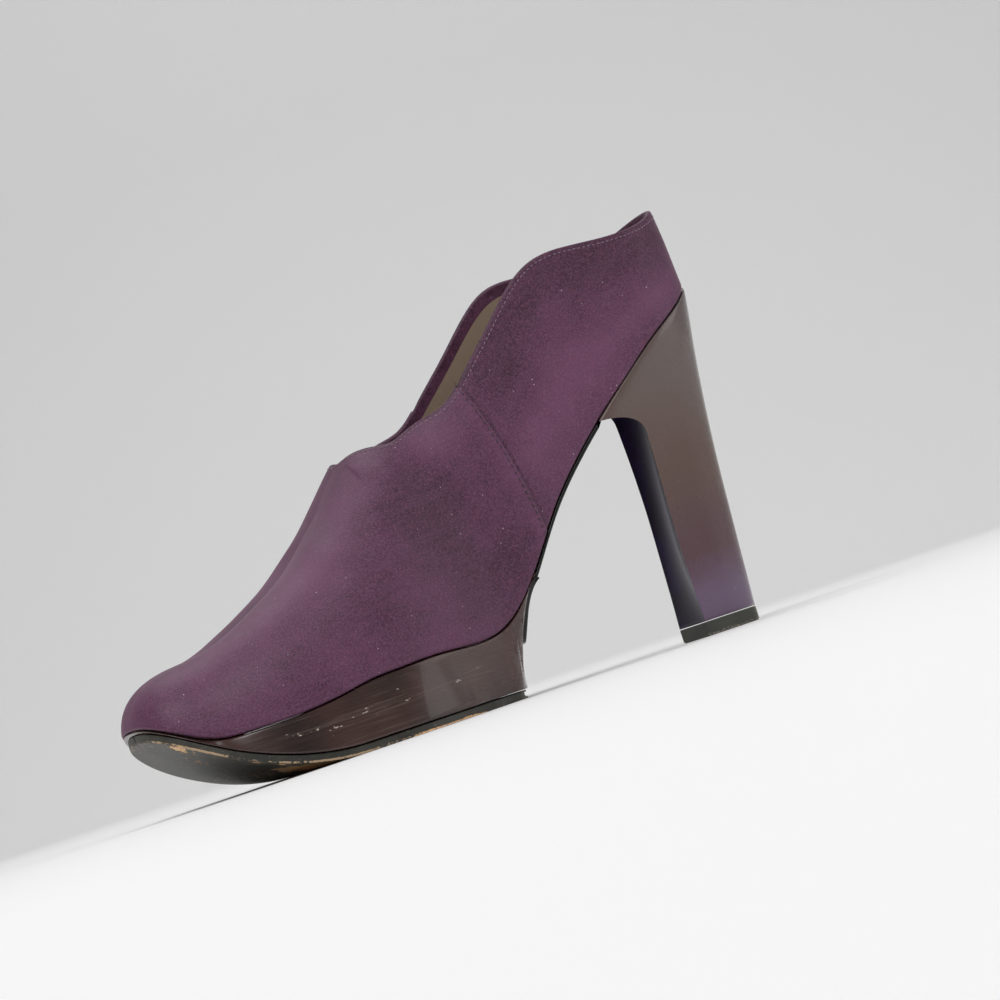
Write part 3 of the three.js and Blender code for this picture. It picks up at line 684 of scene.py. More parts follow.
def makeSatinUpper(material):
    grids, uvs, paintedLightMarks = [], [], []
    rims = {}
    for side in (1, -1):
        outer, at = outerSkin(side)
        steps = np.linalg.norm(np.diff(outer, axis=1), axis=-1)
        girth = np.concatenate([np.zeros((len(stations), 1)), np.cumsum(steps, 1)], 1)
        uv = np.stack([at / 1000, girth / 1000], -1)
        shares = np.linspace(0, 1, upperForm["insideSteps"]) ** upperForm["insidePower"]
        inAt = slantedStations(shares)
        # near the collar the satin turns in over the lining
        proud = smooth(shares, upperForm["proudFrom"], upperForm["proudTo"])[None, :]
        proud = proud * (stations < throatEnd)[:, None]
        depth = mix(upperForm["insideDepth"], shoe["wall"] + upperForm["proud"], proud)
        inner = upperPoint(inAt, side, rimAngle(inAt) * shares[None, :], depth)
        flip = slice(None) if side > 0 else slice(None, None, -1)
        grids.append(outer[flip])
        uvs.append(uv[flip])
        shade = -1.5 * np.exp(-((stations - seamFoot + 0.3) / 0.4) ** 2)  # painted shadow in the groove of the side seam
        # painted highlight on the vamp's lapped edge just past the seam
        edgeHighlightPaint = 0.35 * smooth(stations, seamFoot, seamFoot + 0.6)
        edgeHighlightPaint = edgeHighlightPaint * (1 - smooth(stations, seamFoot + 1, seamFoot + 7))
        tone = paintedLightTone(at, side * (1 - rowShares)[None, :]) + (shade + edgeHighlightPaint)[:, None]
        # painted shade on the top rows of the outer skin where the satin turns in at the collar
        foldShade = -0.9 * smooth(rowShares, 0.975, 0.992)[None, :] * (stations < throatEnd)[:, None]
        paintedLightMarks.append((tone + foldShade)[flip])
        grids.append(inner[flip][:, ::-1])
        uvs.append(np.stack([inAt / 1000, 0.2 + 0 * inAt], -1)[flip][:, ::-1])
        paintedLightMarks.append(0 * inAt)
        bottom = np.stack([inner[:, 0], outer[:, 0]], 1)
        grids.append(bottom[flip])
        uvs.append(np.zeros(bottom.shape[:2] + (2,)))
        paintedLightMarks.append(np.zeros(bottom.shape[:2]))
        rims[side] = (outer[:throatIndex + 1, -1], inner[:throatIndex + 1, -1], stations[:throatIndex + 1])
    # The collar's rolled edge, one strip from the heel round the throat and back.
    outEdge = np.concatenate([rims[1][0], rims[-1][0][-2::-1]])
    inEdge = np.concatenate([rims[1][1], rims[-1][1][-2::-1]])
    middle, reach = (outEdge + inEdge) / 2, np.linalg.norm(outEdge - inEdge, axis=1, keepdims=True) / 2
    outward = (outEdge - inEdge) / np.maximum(2 * reach, 1e-9)
    run = np.gradient(middle, axis=0)
    run[0] = run[-1] = middle[1] - middle[-2]
    upward = np.cross(outward, run)
    upward /= np.linalg.norm(upward, axis=1, keepdims=True)
    upward *= np.sign(upward[:, 2:3].mean())
    turn = np.linspace(0, math.pi, upperForm["rimSteps"])
    roll = middle[:, None] + reach[:, None] * (
        np.cos(turn)[None, :, None] * outward[:, None] + 0.8 * np.sin(turn)[None, :, None] * upward[:, None])
    grids.append(roll)
    uvs.append(np.stack([np.broadcast_to(middle[:, None, 0] / 1000, roll.shape[:2]),
                         np.broadcast_to(0.3 + turn[None, :] / 1000, roll.shape[:2])], -1))
    # the collar's rolled edge is drawn darker
    paintedLightMarks.append(np.full(roll.shape[:2], -0.9))
    return makePiece("satin_upper", grids, material, uvs, {"paintedLightAndShade": paintedLightMarks}), outEdge, upward


def makeLining(material):
    shares = np.linspace(0, 1, upperForm["liningSteps"]) ** 1.3 * upperForm["liningTop"]
    grids = []
    for side in (1, -1):
        at = slantedStations(shares)
        angle = rimAngle(at) * shares[None, :]
        face = upperPoint(at, side, angle, shoe["wall"])
        back = upperPoint(at, side, angle, shoe["wall"] - upperForm["liningThickness"])
        flip = slice(None) if side > 0 else slice(None, None, -1)
        grids += [back[flip], face[flip][:, ::-1]]
        grids.append(np.stack([face[:, 0], back[:, 0]], 1)[flip])
        grids.append(np.stack([back[:, -1], face[:, -1]], 1)[flip])
    return makePiece("upper_lining", grids, material)


satinMaterial = satinFabric()
satinUpper, collarEdge, collarUp = makeSatinUpper(satinMaterial)
lining = makeLining(liningLeather("kid_lining_leather", "#a08e7b", "#8a7766"))
print("satin_upper", len(satinUpper.data.polygons), "faces")

print("stage: insole sock")

sock = {"thickness": 2.5, "along": 150, "across": 26, "edge": 0.8, "dish": 0.5}


def sockPlace(along, across, up):
    along, across, up = np.broadcast_arrays(np.asarray(along, float), across, up)
    x = length * (1 - np.cos(math.pi * along)) / 2
    inset = shoe["wall"] + shoe["clearance"]
    height = shoe["crownHeight"] * column["crown"](x / length) - inset
    angle = np.arcsin((sock["thickness"] * up / height) ** (1 / shoe["squareness"]))
    inner, outer = upperPoint(x, 1, angle, inset), upperPoint(x, -1, angle, inset)
    spot = mix(outer, inner, ((across + 1) / 2)[..., None])
    dish = sock["dish"] * (1 - across ** 2) * up
    return np.stack([spot[..., 0], spot[..., 1], featherHeight(x) + sock["thickness"] * up - dish], -1)


sockLoops = blockLoops(sockPlace, np.linspace(0, 1, sock["along"]), np.linspace(-1, 1, sock["across"]),
                       np.linspace(0, 1, 4), sock["edge"])
insoleSock = makePiece("insole_sock", [sockLoops], liningLeather("kid_sock_leather", "#b7a48e", "#9f8b75"))

print("stage: platform cover")

platform = {
    "back": 0.431, "horn": 0.402, "skew": 0.2, "bow": 4.2, "corner": 5.0, "hornThickness": 0.6,
    "backShare": 0.34, "topLead": 5.0, "squaring": 0.13, "outsole": 2.6, "leastHeight": 0.15, "edge": 0.8,
    "bendX": (0.43, 0.95), "bendZ": (0.11, 0.54), "rubAt": 0.55, "rubWide": 0.16, "rubFrom": (110, 125),
    "rubTo": (185, 205), "hornEnd": (101, 113),
}
platformBack, hornBack = platform["back"] * length, platform["horn"] * length
platformFloor = platform["outsole"] + shoe["clearance"]
hornFoot = featherHeight(hornBack) - shoe["seatClearance"] - platform["hornThickness"]
backPoints = np.array([
    (hornBack, hornFoot),
    (mix(hornBack, platformBack, platform["bendX"][0]), mix(hornFoot, platformFloor, platform["bendZ"][0])),
    (mix(hornBack, platformBack, platform["bendX"][1]), mix(hornFoot, platformFloor, platform["bendZ"][1])),
    (platformBack, platformFloor),
])


def soleLine(x):
    return ballWidth * soleColumn["centre"](x / length)


def soleWidth(x):
    past = np.clip(1 - (x - platformBack) / platform["corner"], 0, 1)
    corner = platform["corner"] * (1 - np.sqrt(1 - past ** 2))
    return (ballWidth * soleColumn["half"](x / length) - corner) * roundToe(x)


def backFace(down, across, offset=0.0):
    down, across, offset = np.broadcast_arrays(np.asarray(down, float), across, offset)
    t = down[..., None]
    p = backPoints
    spot = (1 - t) ** 3 * p[0] + 3 * (1 - t) ** 2 * t * p[1] + 3 * (1 - t) * t ** 2 * p[2] + t ** 3 * p[3]
    run = (1 - t) ** 2 * (p[1] - p[0]) + 2 * (1 - t) * t * (p[2] - p[1]) + t ** 2 * (p[3] - p[2])
    run = run / np.linalg.norm(run, axis=-1, keepdims=True)
    centre = mix(centreLine(hornBack), soleLine(platformBack), down)
    half = mix(featherWidth(hornBack), soleWidth(platformBack), down ** 2)
    skew = platform["skew"] * across * half * down - platform["bow"] * (1 - across ** 2) * down
    return np.stack([spot[..., 0] + skew + run[..., 1] * offset, centre + across * half,
                     spot[..., 1] - run[..., 0] * offset], -1)


def platformPlace(along, across, up):
    along, across, up = np.broadcast_arrays(np.asarray(along, float), across, up)
    behind = np.clip(along / platform["backShare"], 0, 1)
    ahead = np.clip((along - platform["backShare"]) / (1 - platform["backShare"]), 0, 1)
    ahead = (1 - np.cos(math.pi * ahead)) / 2
    soleX = mix(platformBack, length, ahead)
    topStart = platformBack + platform["topLead"]
    topX = mix(mix(hornBack, topStart, behind), length, ahead)
    fade = 1 - np.clip((soleX - platformBack) / (platform["squaring"] * length), 0, 1)
    soleY = across * soleWidth(soleX)
    bow = platform["bow"] * (1 - across ** 2)
    under = np.stack([soleX + (platform["skew"] * soleY - bow) * fade, soleLine(soleX) + soleY,
                      soleUnderside(soleX) + platformFloor], -1)
    foot = np.where((along < platform["backShare"])[..., None], backFace(behind, across), under)
    top = np.maximum(featherHeight(topX) - shoe["seatClearance"], foot[..., 2] + platform["leastHeight"])
    head = np.stack([topX, centreLine(topX) + across * featherWidth(topX), top], -1)
    return mix(foot, head, up[..., None])


share = platform["backShare"]
platformAlong = np.concatenate([
    np.linspace(0, share - 0.006, 70), share + np.array([-0.003, -0.001, 0]),
    mix(share, 1, np.linspace(0, 1, 170)[1:]),
])
platformLoops = blockLoops(platformPlace, platformAlong, np.linspace(-1, 1, 31), np.linspace(0, 1, 17),
                           platform["edge"])
platformGrids = closedLoops(platformLoops)
rubbed, hornShare = [], []
for grid in platformGrids:  # the knocked band half way up the side, and the horn at the back corners
    x, z = grid[..., 0], grid[..., 2]
    low = soleUnderside(x) + platformFloor
    share = (z - low) / np.maximum(featherHeight(x) - low, 1)
    band = np.exp(-((share - platform["rubAt"]) / platform["rubWide"]) ** 2)
    rubbed.append(band * smooth(x, *platform["rubFrom"]) * (1 - smooth(x, *platform["rubTo"])))
    hornShare.append(1 - smooth(x, *platform["hornEnd"]))
platformCover = makePiece("platform_wrap", platformGrids, glossLacquer(),
                          marks={"rubbed": rubbed, "horn": hornShare})

print("stage: outsole")

outsole = {
    "inset": 0.8, "edge": 0.55, "along": 230, "across": 121, "relief": 0.1, "wearCell": 4.0,
    "specks": (0.08, 0.06, 0.07), "speckReach": 9, "chipSlope": 1.6, "rimBand": (0.3, 3.4),
    "rimHeight": (0.5, 1.1),
    # the worn patch's outline in the shoe's millimetres, from its inner back corner round by the outer side
    "patch": [(123, 36), (122, 20), (122, 3), (128, -4), (123, -12), (120, -20), (114, -32), (112, -46),
              (150, -46), (161, -36), (167, -19), (172, -14), (168, -8), (157, -2), (163, 5), (171, 4),
              (183, 7), (189, 18), (186, 26), (180, 31), (165, 30), (156, 34), (148, 42)],
    # small chips at the inner edge and the toe: middle and radius
    "chips": [(217, 21, 2.1), (204, 27, 0.5), (198, 30, 0.9), (191, 32, 0.4), (209, 10, 0.6),
              (139, -42, 2.0)],
}


def outsolePlace(along, across, up):
    along, across, up = np.broadcast_arrays(np.asarray(along, float), across, up)
    ahead = (1 - np.cos(math.pi * along)) / 2
    x = mix(platformBack + outsole["inset"], length - outsole["inset"], ahead)
    outlineX = mix(platformBack, length, ahead)
    narrow = outsole["inset"] * endRounding(1 - ahead, 1, 2)
    half = np.clip(soleWidth(outlineX) - narrow, 0, None)
    fade = 1 - np.clip((outlineX - platformBack) / (platform["squaring"] * length), 0, 1)
    shift = (platform["skew"] * across * half - platform["bow"] * (1 - across ** 2)) * fade
    backRound = outsole["edge"] * (1 - np.sqrt(1 - np.clip(1 - (x - x.min()) / outsole["edge"], 0, 1) ** 2))
    level = mix(backRound, platform["outsole"] - backRound, up)
    return np.stack([x + shift, soleLine(outlineX) + across * half, soleUnderside(x) + level], -1)


def insidePatch(x, y):  # signed distance to the worn patch's outline, positive inside
    corners = np.array(outsole["patch"], float)
    nearest, inside = np.full(np.shape(x), 1e9), np.zeros(np.shape(x), bool)
    for (ax, ay), (bx, by) in zip(corners, np.roll(corners, -1, 0)):
        t = np.clip(((x - ax) * (bx - ax) + (y - ay) * (by - ay)) / ((bx - ax) ** 2 + (by - ay) ** 2), 0, 1)
        nearest = np.minimum(nearest, np.hypot(x - mix(ax, bx, t), y - mix(ay, by, t)))
        crosses = (ay > y) != (by > y)
        inside ^= crosses & (x < ax + (y - ay) * (bx - ax) / (by - ay if by != ay else 1e-9))
    return np.where(inside, nearest, -nearest)


def makeOutsole(material):
    along = np.concatenate([[0, 0.004, 0.01, 0.017], np.linspace(0.025, 1, outsole["along"])])
    loops = blockLoops(outsolePlace, along, np.linspace(-1, 1, outsole["across"]), np.linspace(0, 1, 4),
                       outsole["edge"])
    grids = closedLoops(loops, 2)
    marks = {"wornDepth": [], "speckShare": [], "rimRub": []}
    for grid in grids:
        x, y, z = grid[..., 0], grid[..., 1], grid[..., 2]
        worn = insidePatch(x, y)
        for chipX, chipY, radius in outsole["chips"]:
            worn = np.maximum(worn, outsole["chipSlope"] * (radius - np.hypot(x - chipX, y - chipY)))
        below = z - soleUnderside(x)
        underneath = 1 - smooth(below, 0.2, 1.0)
        near = np.exp(-np.clip(-worn, 0, 60) / outsole["speckReach"])
        ahead = smooth(x, 150, 172) * (1 - smooth(y, 2, 16)) * (1 - smooth(x, 188, 206))
        everywhere, byPatch, beforePatch = outsole["specks"]
        speck = (everywhere + byPatch * near + beforePatch * ahead) * underneath
        inward = soleWidth(x) - np.abs(y - soleLine(x))
        frayed = 0.55 + 0.6 * latticeNoise(x, y, 7.0, 9)
        lowEdge = 1 - smooth(below, *outsole["rimHeight"])
        innerRim = (1 - smooth(inward, *outsole["rimBand"])) * (y > soleLine(x))
        innerRim = innerRim * smooth(x, 112, 150) * frayed * lowEdge
        toeRim = 0.6 * smooth(x, length - 5, length - 2) * lowEdge
        marks["wornDepth"].append(worn - 14 * (1 - underneath))
        marks["speckShare"].append(speck)
        marks["rimRub"].append(np.clip(innerRim + toeRim, 0, 1))
        noise = 10 * (latticeNoise(x, y, outsole["wearCell"], 3) - 0.5)
        grid[..., 2] += outsole["relief"] * smooth(worn + noise, -1, 1.5) * (below < 0.05)
    return makePiece("leather_outsole", grids, material, marks=marks)


leatherOutsole = makeOutsole(soleLeather())

print("stage: waist cover")

waist = {
    "thickness": 1.8, "crown": 1.2, "inset": 0.8, "end": 0.68, "endHalf": 0.235, "corner": 8.0,
    "waistShare": 0.56, "edge": 0.7,
}
backRun = np.linalg.norm(np.diff(backFace(np.linspace(0, 1, 60), 1.0)[:, [0, 2]], axis=0), axis=1).sum()


def heelHollow(across):
    return shoe["breastDent"] * (1 - across ** 2)


def waistPlace(along, across, up):
    along, across, up = np.broadcast_arrays(np.asarray(along, float), across, up)
    swell = waist["thickness"] + waist["crown"] * (1 - across ** 2)
    offset = shoe["clearance"] + swell * (1 - up)
    skew = shoe["breastSkew"] * across * featherWidth(breastLine)
    edge = breastLine + shoe["clearance"] - heelHollow(across) + skew
    x = mix(edge, hornBack, np.clip(along / waist["waistShare"], 0, 1))
    half = featherWidth(x) - waist["inset"]
    step = (platform["hornThickness"] + shoe["clearance"]) * (x / hornBack) ** 8
    drop = offset + shoe["seatClearance"] - shoe["clearance"] + step
    onWaist = np.stack([x, centreLine(x) + across * half, featherHeight(x) - drop], -1)
    down = waist["end"] * np.clip((along - waist["waistShare"]) / (1 - waist["waistShare"]), 0, 1)
    faceHalf = mix(featherWidth(hornBack), soleWidth(platformBack), down ** 2)
    cut = waist["corner"] * (1 - endRounding((waist["end"] - down) * backRun, waist["corner"], 2))
    own = mix(faceHalf - waist["inset"], waist["endHalf"] * ballWidth, down / waist["end"]) - cut
    onBack = backFace(down, across * own / faceHalf, offset)
    return np.where((along < waist["waistShare"])[..., None], onWaist, onBack)


waistAlong = np.concatenate([
    [0, 0.002], np.linspace(0.006, 0.985, 150), 1 - np.array([0.011, 0.007, 0.004, 0.002, 0.0008, 0])])
waistLoops = blockLoops(waistPlace, waistAlong, np.linspace(-1, 1, 41), np.linspace(0, 1, 4), waist["edge"])
waistCover = makePiece("patent_waist_cover", closedLoops(waistLoops), patentLeather())

print("stage: heel")

heel = {
    "fullAt": 0.62, "roundness": 2.3, "seatPower": 1.4, "skewPower": 2.5, "edge": 0.9, "around": 90,
    "front": 30, "levels": 120, "archReach": 0.115, "archPower": 2.3,
}
heelTable = {
    "down": [0, .02, .05, .1, .2, .35, .5, .7, .85, 1],
    "back": [0, .04, .1, .19, .35, .53, .67, .8, .9, 1],
    "front": [1.03, 1.035, 1.04, 1.05, 1.06, 1.06, 1.05, 1.02, 1.01, 1],
    "half": [0, .07, .14, .22, .35, .54, .7, .86, .94, 1],
    "dent": [1, .97, .93, .85, .7, .5, .36, .22, .12, .04],
}
heelColumn = {name: splineOf(heelTable, name, "down") for name in heelTable if name != "down"}


def heelPlace(along, across, up):
    along, across, up = np.broadcast_arrays(np.asarray(along, float), across, up)
    down = (1 - up) ** heel["seatPower"]
    depth = (1 - np.cos(math.pi * along)) / 2
    rounding = endRounding(depth, heel["fullAt"], heel["roundness"])
    half = rounding * mix(featherWidth(breastLine), topPiece["width"] / 2, heelColumn["half"](down))
    skew = across * half * mix(shoe["breastSkew"], topPiece["skew"], down ** heel["skewPower"])
    back = topPiece["back"] * heelColumn["back"](down)
    topFront = topPiece["back"] + topPiece["length"]
    reach = heelColumn["front"](down) * endRounding(down, heel["archReach"], heel["archPower"])
    front = mix(breastLine, topFront, reach) - heelHollow(across) * heelColumn["dent"](down)
    seatX = mix(0, breastLine - heelHollow(across), depth) + shoe["breastSkew"] * across * half * depth
    x = mix(back, front, depth) + skew * depth
    foot = topPiece["height"] + shoe["clearance"]
    return np.stack([x, mix(centreLine(x), topPiece["side"], down) + across * half,
                     mix(featherHeight(seatX) - shoe["seatClearance"], foot, down)], -1)


def dLoops(place, levels, around, front, edge):
    # Loops around a D-shaped column, one for each level: up one side, round the back, and over the front.
    up = np.asarray(levels, float)[:, None]
    side = np.linspace(1, 0, around)[None, :]
    ones = np.ones_like(up)
    tall = np.linalg.norm(place(ones, ones, up) - place(ones, -ones, up), axis=-1) / 2
    inset = edge / tall
    cut = edge / 12.0  # share of the column's depth that the rounded front corner takes from the side
    sideAlong = mix(0, 1 - cut / 2, side)
    turn = np.linspace(0, 1, 7)[None, 1:-1, None]

    def corner(first, middle, last):
        return (1 - turn) ** 2 * first + 2 * turn * (1 - turn) * middle + turn ** 2 * last

    flat = np.linspace(1, -1, front)[None, :] * (1 - inset)
    last = np.full_like(up, 1 - cut / 2)
    parts = [
        place(sideAlong + 0 * up, -1 + 0 * side + 0 * up, up + 0 * side),
        place(sideAlong[:, ::-1][:, 1:] + 0 * up, 1 + 0 * side[:, 1:] + 0 * up, up + 0 * side[:, 1:]),
        corner(place(last, ones, up), place(ones, ones, up), place(ones, 1 - inset, up)),
        place(1 + 0 * flat, flat, up + 0 * flat),
        corner(place(ones, inset - 1, up), place(ones, -ones, up), place(last, -ones, up)),
    ]
    loops = np.concatenate(parts, 1)
    return np.concatenate([loops, loops[:, :1]], 1)


def makeHeel(material):
    levels = 1 - np.linspace(0, 1, heel["levels"]) ** 1.15
    loops = dLoops(heelPlace, levels, heel["around"], heel["front"], heel["edge"])
    grids = closedLoops(loops, 5)
    marks = {"breast": []}
    for grid in grids:
        columns = np.arange(grid.shape[1])
        start, stop = 2 * heel["around"] - 2, 2 * heel["around"] + 9 + heel["front"]
        marks["breast"].append(np.broadcast_to(
            smooth(columns, start, start + 4) * (1 - smooth(columns, stop, stop + 3)), grid.shape[:2]))
    piece = makePiece("resin_heel", grids, material, marks=marks)
    share = np.empty(len(piece.data.vertices), np.float32)
    piece.data.attributes["breast"].data.foreach_get("value", share)
    piece.data.materials.append(moulded("violet_resin_front"))
    for face in piece.data.polygons:
        face.material_index = int(share[list(face.vertices)].mean() > 0.75)
    return piece


resinHeel = makeHeel(castResin())

print("stage: top piece")


def topPiecePlace(along, across, up):
    along, across, up = np.broadcast_arrays(np.asarray(along, float), across, up)
    depth = (1 - np.cos(math.pi * along)) / 2
    half = endRounding(depth, topPiece["fullAt"], topPiece["roundness"]) * topPiece["width"] / 2
    x = topPiece["back"] + topPiece["length"] * depth + topPiece["skew"] * across * half * depth
    return np.stack([x, topPiece["side"] + across * half, topPiece["height"] * up], -1)


def makeTopPiece(material):
    levels = np.linspace(0, 1, topPiece["levels"])
    loops = dLoops(topPiecePlace, levels, topPiece["along"], 24, 0.6)
    middle = loops[:, :-1].mean(1)[:, None]
    edge, height = topPiece["edge"], topPiece["height"]
    rounds = []
    for turn in np.linspace(0, 1, 6)[:-1] * math.pi / 2:  # the rubbed lower edge
        ring = mix(middle[0], loops[0], 1 - edge * (1 - math.sin(turn)) / 11)
        ring = ring + np.array([0, 0, edge * (1 - math.cos(turn))])
        rounds.append(ring)
    upper = loops[loops[:, 0, 2] > edge]
    top = [mix(middle[-1], loops[-1], 1 - 0.25 / 11)]
    upper[-1, :, 2] = height - 0.2
    wall = np.concatenate([np.array(rounds), upper, np.array(top)])
    grids = closedLoops(wall, 6)
    marks = {"scuff": []}
    for grid in grids:
        x, z = grid[..., 0], grid[..., 2]
        backEdge = 1 - smooth(x, topPiece["back"] + 1, topPiece["back"] + topPiece["wornReach"])
        lowEdge = 1 - smooth(z, 0.3, 1.6)
        rim = np.abs(grid[..., 1] - topPiece["side"]) > topPiece["width"] / 2 - 1.6
        marks["scuff"].append(np.clip(backEdge * 0.9 + 0.5 * lowEdge * rim + 0.25 * lowEdge, 0, 1))
        grid[..., 2] = np.maximum(grid[..., 2], 0)
    return makePiece("rubber_top_piece", grids, material, marks=marks)


rubberTop = makeTopPiece(topPieceRubber())

print("stage: stitches")

collarStitch = {"length": 1.1, "gap": 0.6, "thread": 0.32, "below": 1.4, "tint": "#b498ae",
                "seed": 3, "spacing": 0.6}
seamStitch = {"length": 1.3, "gap": 1.0, "thread": 0.42, "below": 0.9, "tint": "#1d0e18", "seed": 8}


def stitchTree(name, material):
    tree = bpy.data.node_groups.new(name, "GeometryNodeTree")
    tree.interface.new_socket("Path", in_out="INPUT", socket_type="NodeSocketGeometry")
    for label in ("Stitch length", "Gap", "Thread"):
        tree.interface.new_socket(label, in_out="INPUT", socket_type="NodeSocketFloat")
    tree.interface.new_socket("Seed", in_out="INPUT", socket_type="NodeSocketInt")
    tree.interface.new_socket("Stitches", in_out="OUTPUT", socket_type="NodeSocketGeometry")
    given = addNode(tree, "NodeGroupInput", {}, {})
    pitch = combine(tree, "ADD", given.outputs["Stitch length"], given.outputs["Gap"])
    spots = addNode(tree, "GeometryNodeCurveToPoints", {"mode": "LENGTH"}, {
        "Curve": given.outputs["Path"], "Length": pitch})
    half = combine(tree, "MULTIPLY", given.outputs["Stitch length"], 0.5)
    thin = combine(tree, "MULTIPLY", given.outputs["Thread"], 0.5)
    size = addNode(tree, "ShaderNodeCombineXYZ", {}, {
        "X": thin, "Y": thin, "Z": half})
    bead = addNode(tree, "GeometryNodeMeshUVSphere", {}, {"Segments": 6, "Rings": 5, "Radius": 1.0})
    tilt = addNode(tree, "FunctionNodeRandomValue", {"data_type": "FLOAT_VECTOR"}, {
        0: (-0.07, -0.07, 0.0), 1: (0.07, 0.07, 0.0), "Seed": given.outputs["Seed"]})
    turned = addNode(tree, "FunctionNodeRotateEuler", {"rotation_type": "EULER", "space": "LOCAL"}, {
        "Rotation": spots.outputs["Rotation"], "Rotate By": tilt.outputs["Value"]})
    copies = addNode(tree, "GeometryNodeInstanceOnPoints", {}, {
        "Points": spots.outputs["Points"], "Instance": bead.outputs["Mesh"],
        "Rotation": turned.outputs["Rotation"], "Scale": size.outputs["Vector"]})
    real = addNode(tree, "GeometryNodeRealizeInstances", {}, {"Geometry": copies.outputs["Instances"]})
    dyed = addNode(tree, "GeometryNodeSetMaterial", {}, {
        "Geometry": real.outputs["Geometry"], "Material": material})
    addNode(tree, "NodeGroupOutput", {}, {"Stitches": dyed.outputs["Geometry"]})
    return tree


def startPath(name):
    path = bpy.data.curves.new(name + "_path", "CURVE")
    path.dimensions = "3D"
    return path


def addSpline(path, points):
    spline = path.splines.new("POLY")
    spline.points.add(len(points) - 1)
    spots = (points + frameShift) / 1000
    spline.points.foreach_set("co", np.concatenate([spots, np.ones((len(spots), 1))], 1).reshape(-1))


def holdPath(path):
    holder = bpy.data.objects.new(path.name, path)
    bpy.context.scene.collection.objects.link(holder)
    return holder


def pieceFromPath(name, holder):  # the finished mesh stays, the path and its modifier go
    bpy.context.view_layer.update()
    finished = holder.evaluated_get(bpy.context.evaluated_depsgraph_get())
    mesh = bpy.data.meshes.new_from_object(finished)
    mesh.name = name
    bpy.data.objects.remove(holder)
    piece = bpy.data.objects.new(name, mesh)
    bpy.context.scene.collection.objects.link(piece)
    return piece


def sewStitches(name, points, sizes, material):
    path = startPath(name)
    addSpline(path, points)
    holder = holdPath(path)
    tree = stitchTree(name + "_rule", material)
    modifier = holder.modifiers.new("stitches", "NODES")
    modifier.node_group = tree
    sockets = {item.name: item.identifier for item in tree.interface.items_tree if item.in_out == "INPUT"}
    for label, key in (("Stitch length", "length"), ("Gap", "gap"), ("Thread", "thread")):
        modifier[sockets[label]] = sizes[key] / 1000
    modifier[sockets["Seed"]] = sizes["seed"]
    piece = pieceFromPath(name, holder)
    piece.data.polygons.foreach_set("use_smooth", np.ones(len(piece.data.polygons), bool))
    return piece


def alongCurve(points, values, spacing):  # what the values are at even steps along the line
    steps = np.concatenate([[0], np.cumsum(np.linalg.norm(np.diff(points, axis=0), axis=1))])
    places = np.arange(0, steps[-1], spacing)
    return np.stack([np.interp(places, steps, values[:, axis]) for axis in range(3)], 1)


# The collar's stitches follow its edge. Near the throat the sections close up, so the line is taken from
# the collar's edge itself and set down into the skin.
def offsetFromEdge(below, lift):
    skins = np.concatenate([outerSkin(side, lift)[0].reshape(-1, 3) for side in (1, -1)])
    spacing = collarStitch["spacing"]
    edge = alongCurve(collarEdge, collarEdge, spacing)
    wanted = edge - below * alongCurve(collarEdge, collarUp, spacing)
    line = []
    for spot in wanted:
        away = np.linalg.norm(skins - spot, axis=1)
        near = np.argpartition(away, 6)[:6]
        weight = 1 / (away[near] + 0.05) ** 2
        line.append((skins[near] * weight[:, None]).sum(0) / weight.sum())
    line = np.array(line)
    for _ in range(4):
        line[1:-1] = (line[:-2] + 2 * line[1:-1] + line[2:]) / 4
    return line


paleThread = sewingThread("pale_mauve_thread", collarStitch["tint"])
darkThread = sewingThread("dark_plum_thread", seamStitch["tint"])
collarLineSpots = offsetFromEdge(collarStitch["below"], collarStitch["thread"] * 0.35)
collarStitches = sewStitches("collar_stitches", collarLineSpots, collarStitch, paleThread)

seamIndex = int(np.argmin(np.abs(stations - (seamFoot + seamStitch["below"]))))
seamStitches = []
for side, label in ((1, "inner"), (-1, "outer")):
    line = outerSkin(side, seamStitch["thread"] * 0.35)[0][seamIndex, 4:-3]
    seamStitches.append(sewStitches(f"seam_stitches_{label}", line, seamStitch, darkThread))


# A few ends left standing where the seam meets the collar: lengths in millimetres, and their thickness.
looseEnds = {"lengths": (2.6, 1.9, 3.2, 1.4), "radius": 0.09, "seed": 17, "points": 9,
             "sunk": 0.2, "curl": 0.6}


def looseThreads(name, root, material):
    rng = np.random.default_rng(looseEnds["seed"])
    path = startPath(name)
    path.bevel_depth, path.bevel_resolution, path.use_fill_caps = looseEnds["radius"] / 1000, 1, True
    shares = np.linspace(0, 1, looseEnds["points"])[:, None]
    sunk = np.array([0, 0, looseEnds["sunk"]])
    for reach in looseEnds["lengths"]:
        lean = np.array([rng.uniform(-0.7, 0.1), rng.uniform(-0.1, 0.5), 0.8])
        lean /= np.linalg.norm(lean)
        bend = rng.uniform(-0.5, 0.5, 3) * looseEnds["curl"]
        addSpline(path, root + reach * (shares * lean + shares ** 2 * bend) - sunk)
    piece = pieceFromPath(name, holdPath(path))
    piece.data.materials.clear()
    piece.data.materials.append(material)
    return piece


seamTop = outerSkin(1)[0][seamIndex, -1]
threadEnds = looseThreads("seam_thread_ends", seamTop, darkThread)
print("stitches", sum(len(s.data.polygons) for s in [collarStitches, *seamStitches]), "faces")

print("stage: set and light")

stand = {"floor": "#fcfcfc", "wall": "#efefef", "wide": 3.0, "bendStart": 1.1, "bendRound": 0.5, "tall": 2.4}


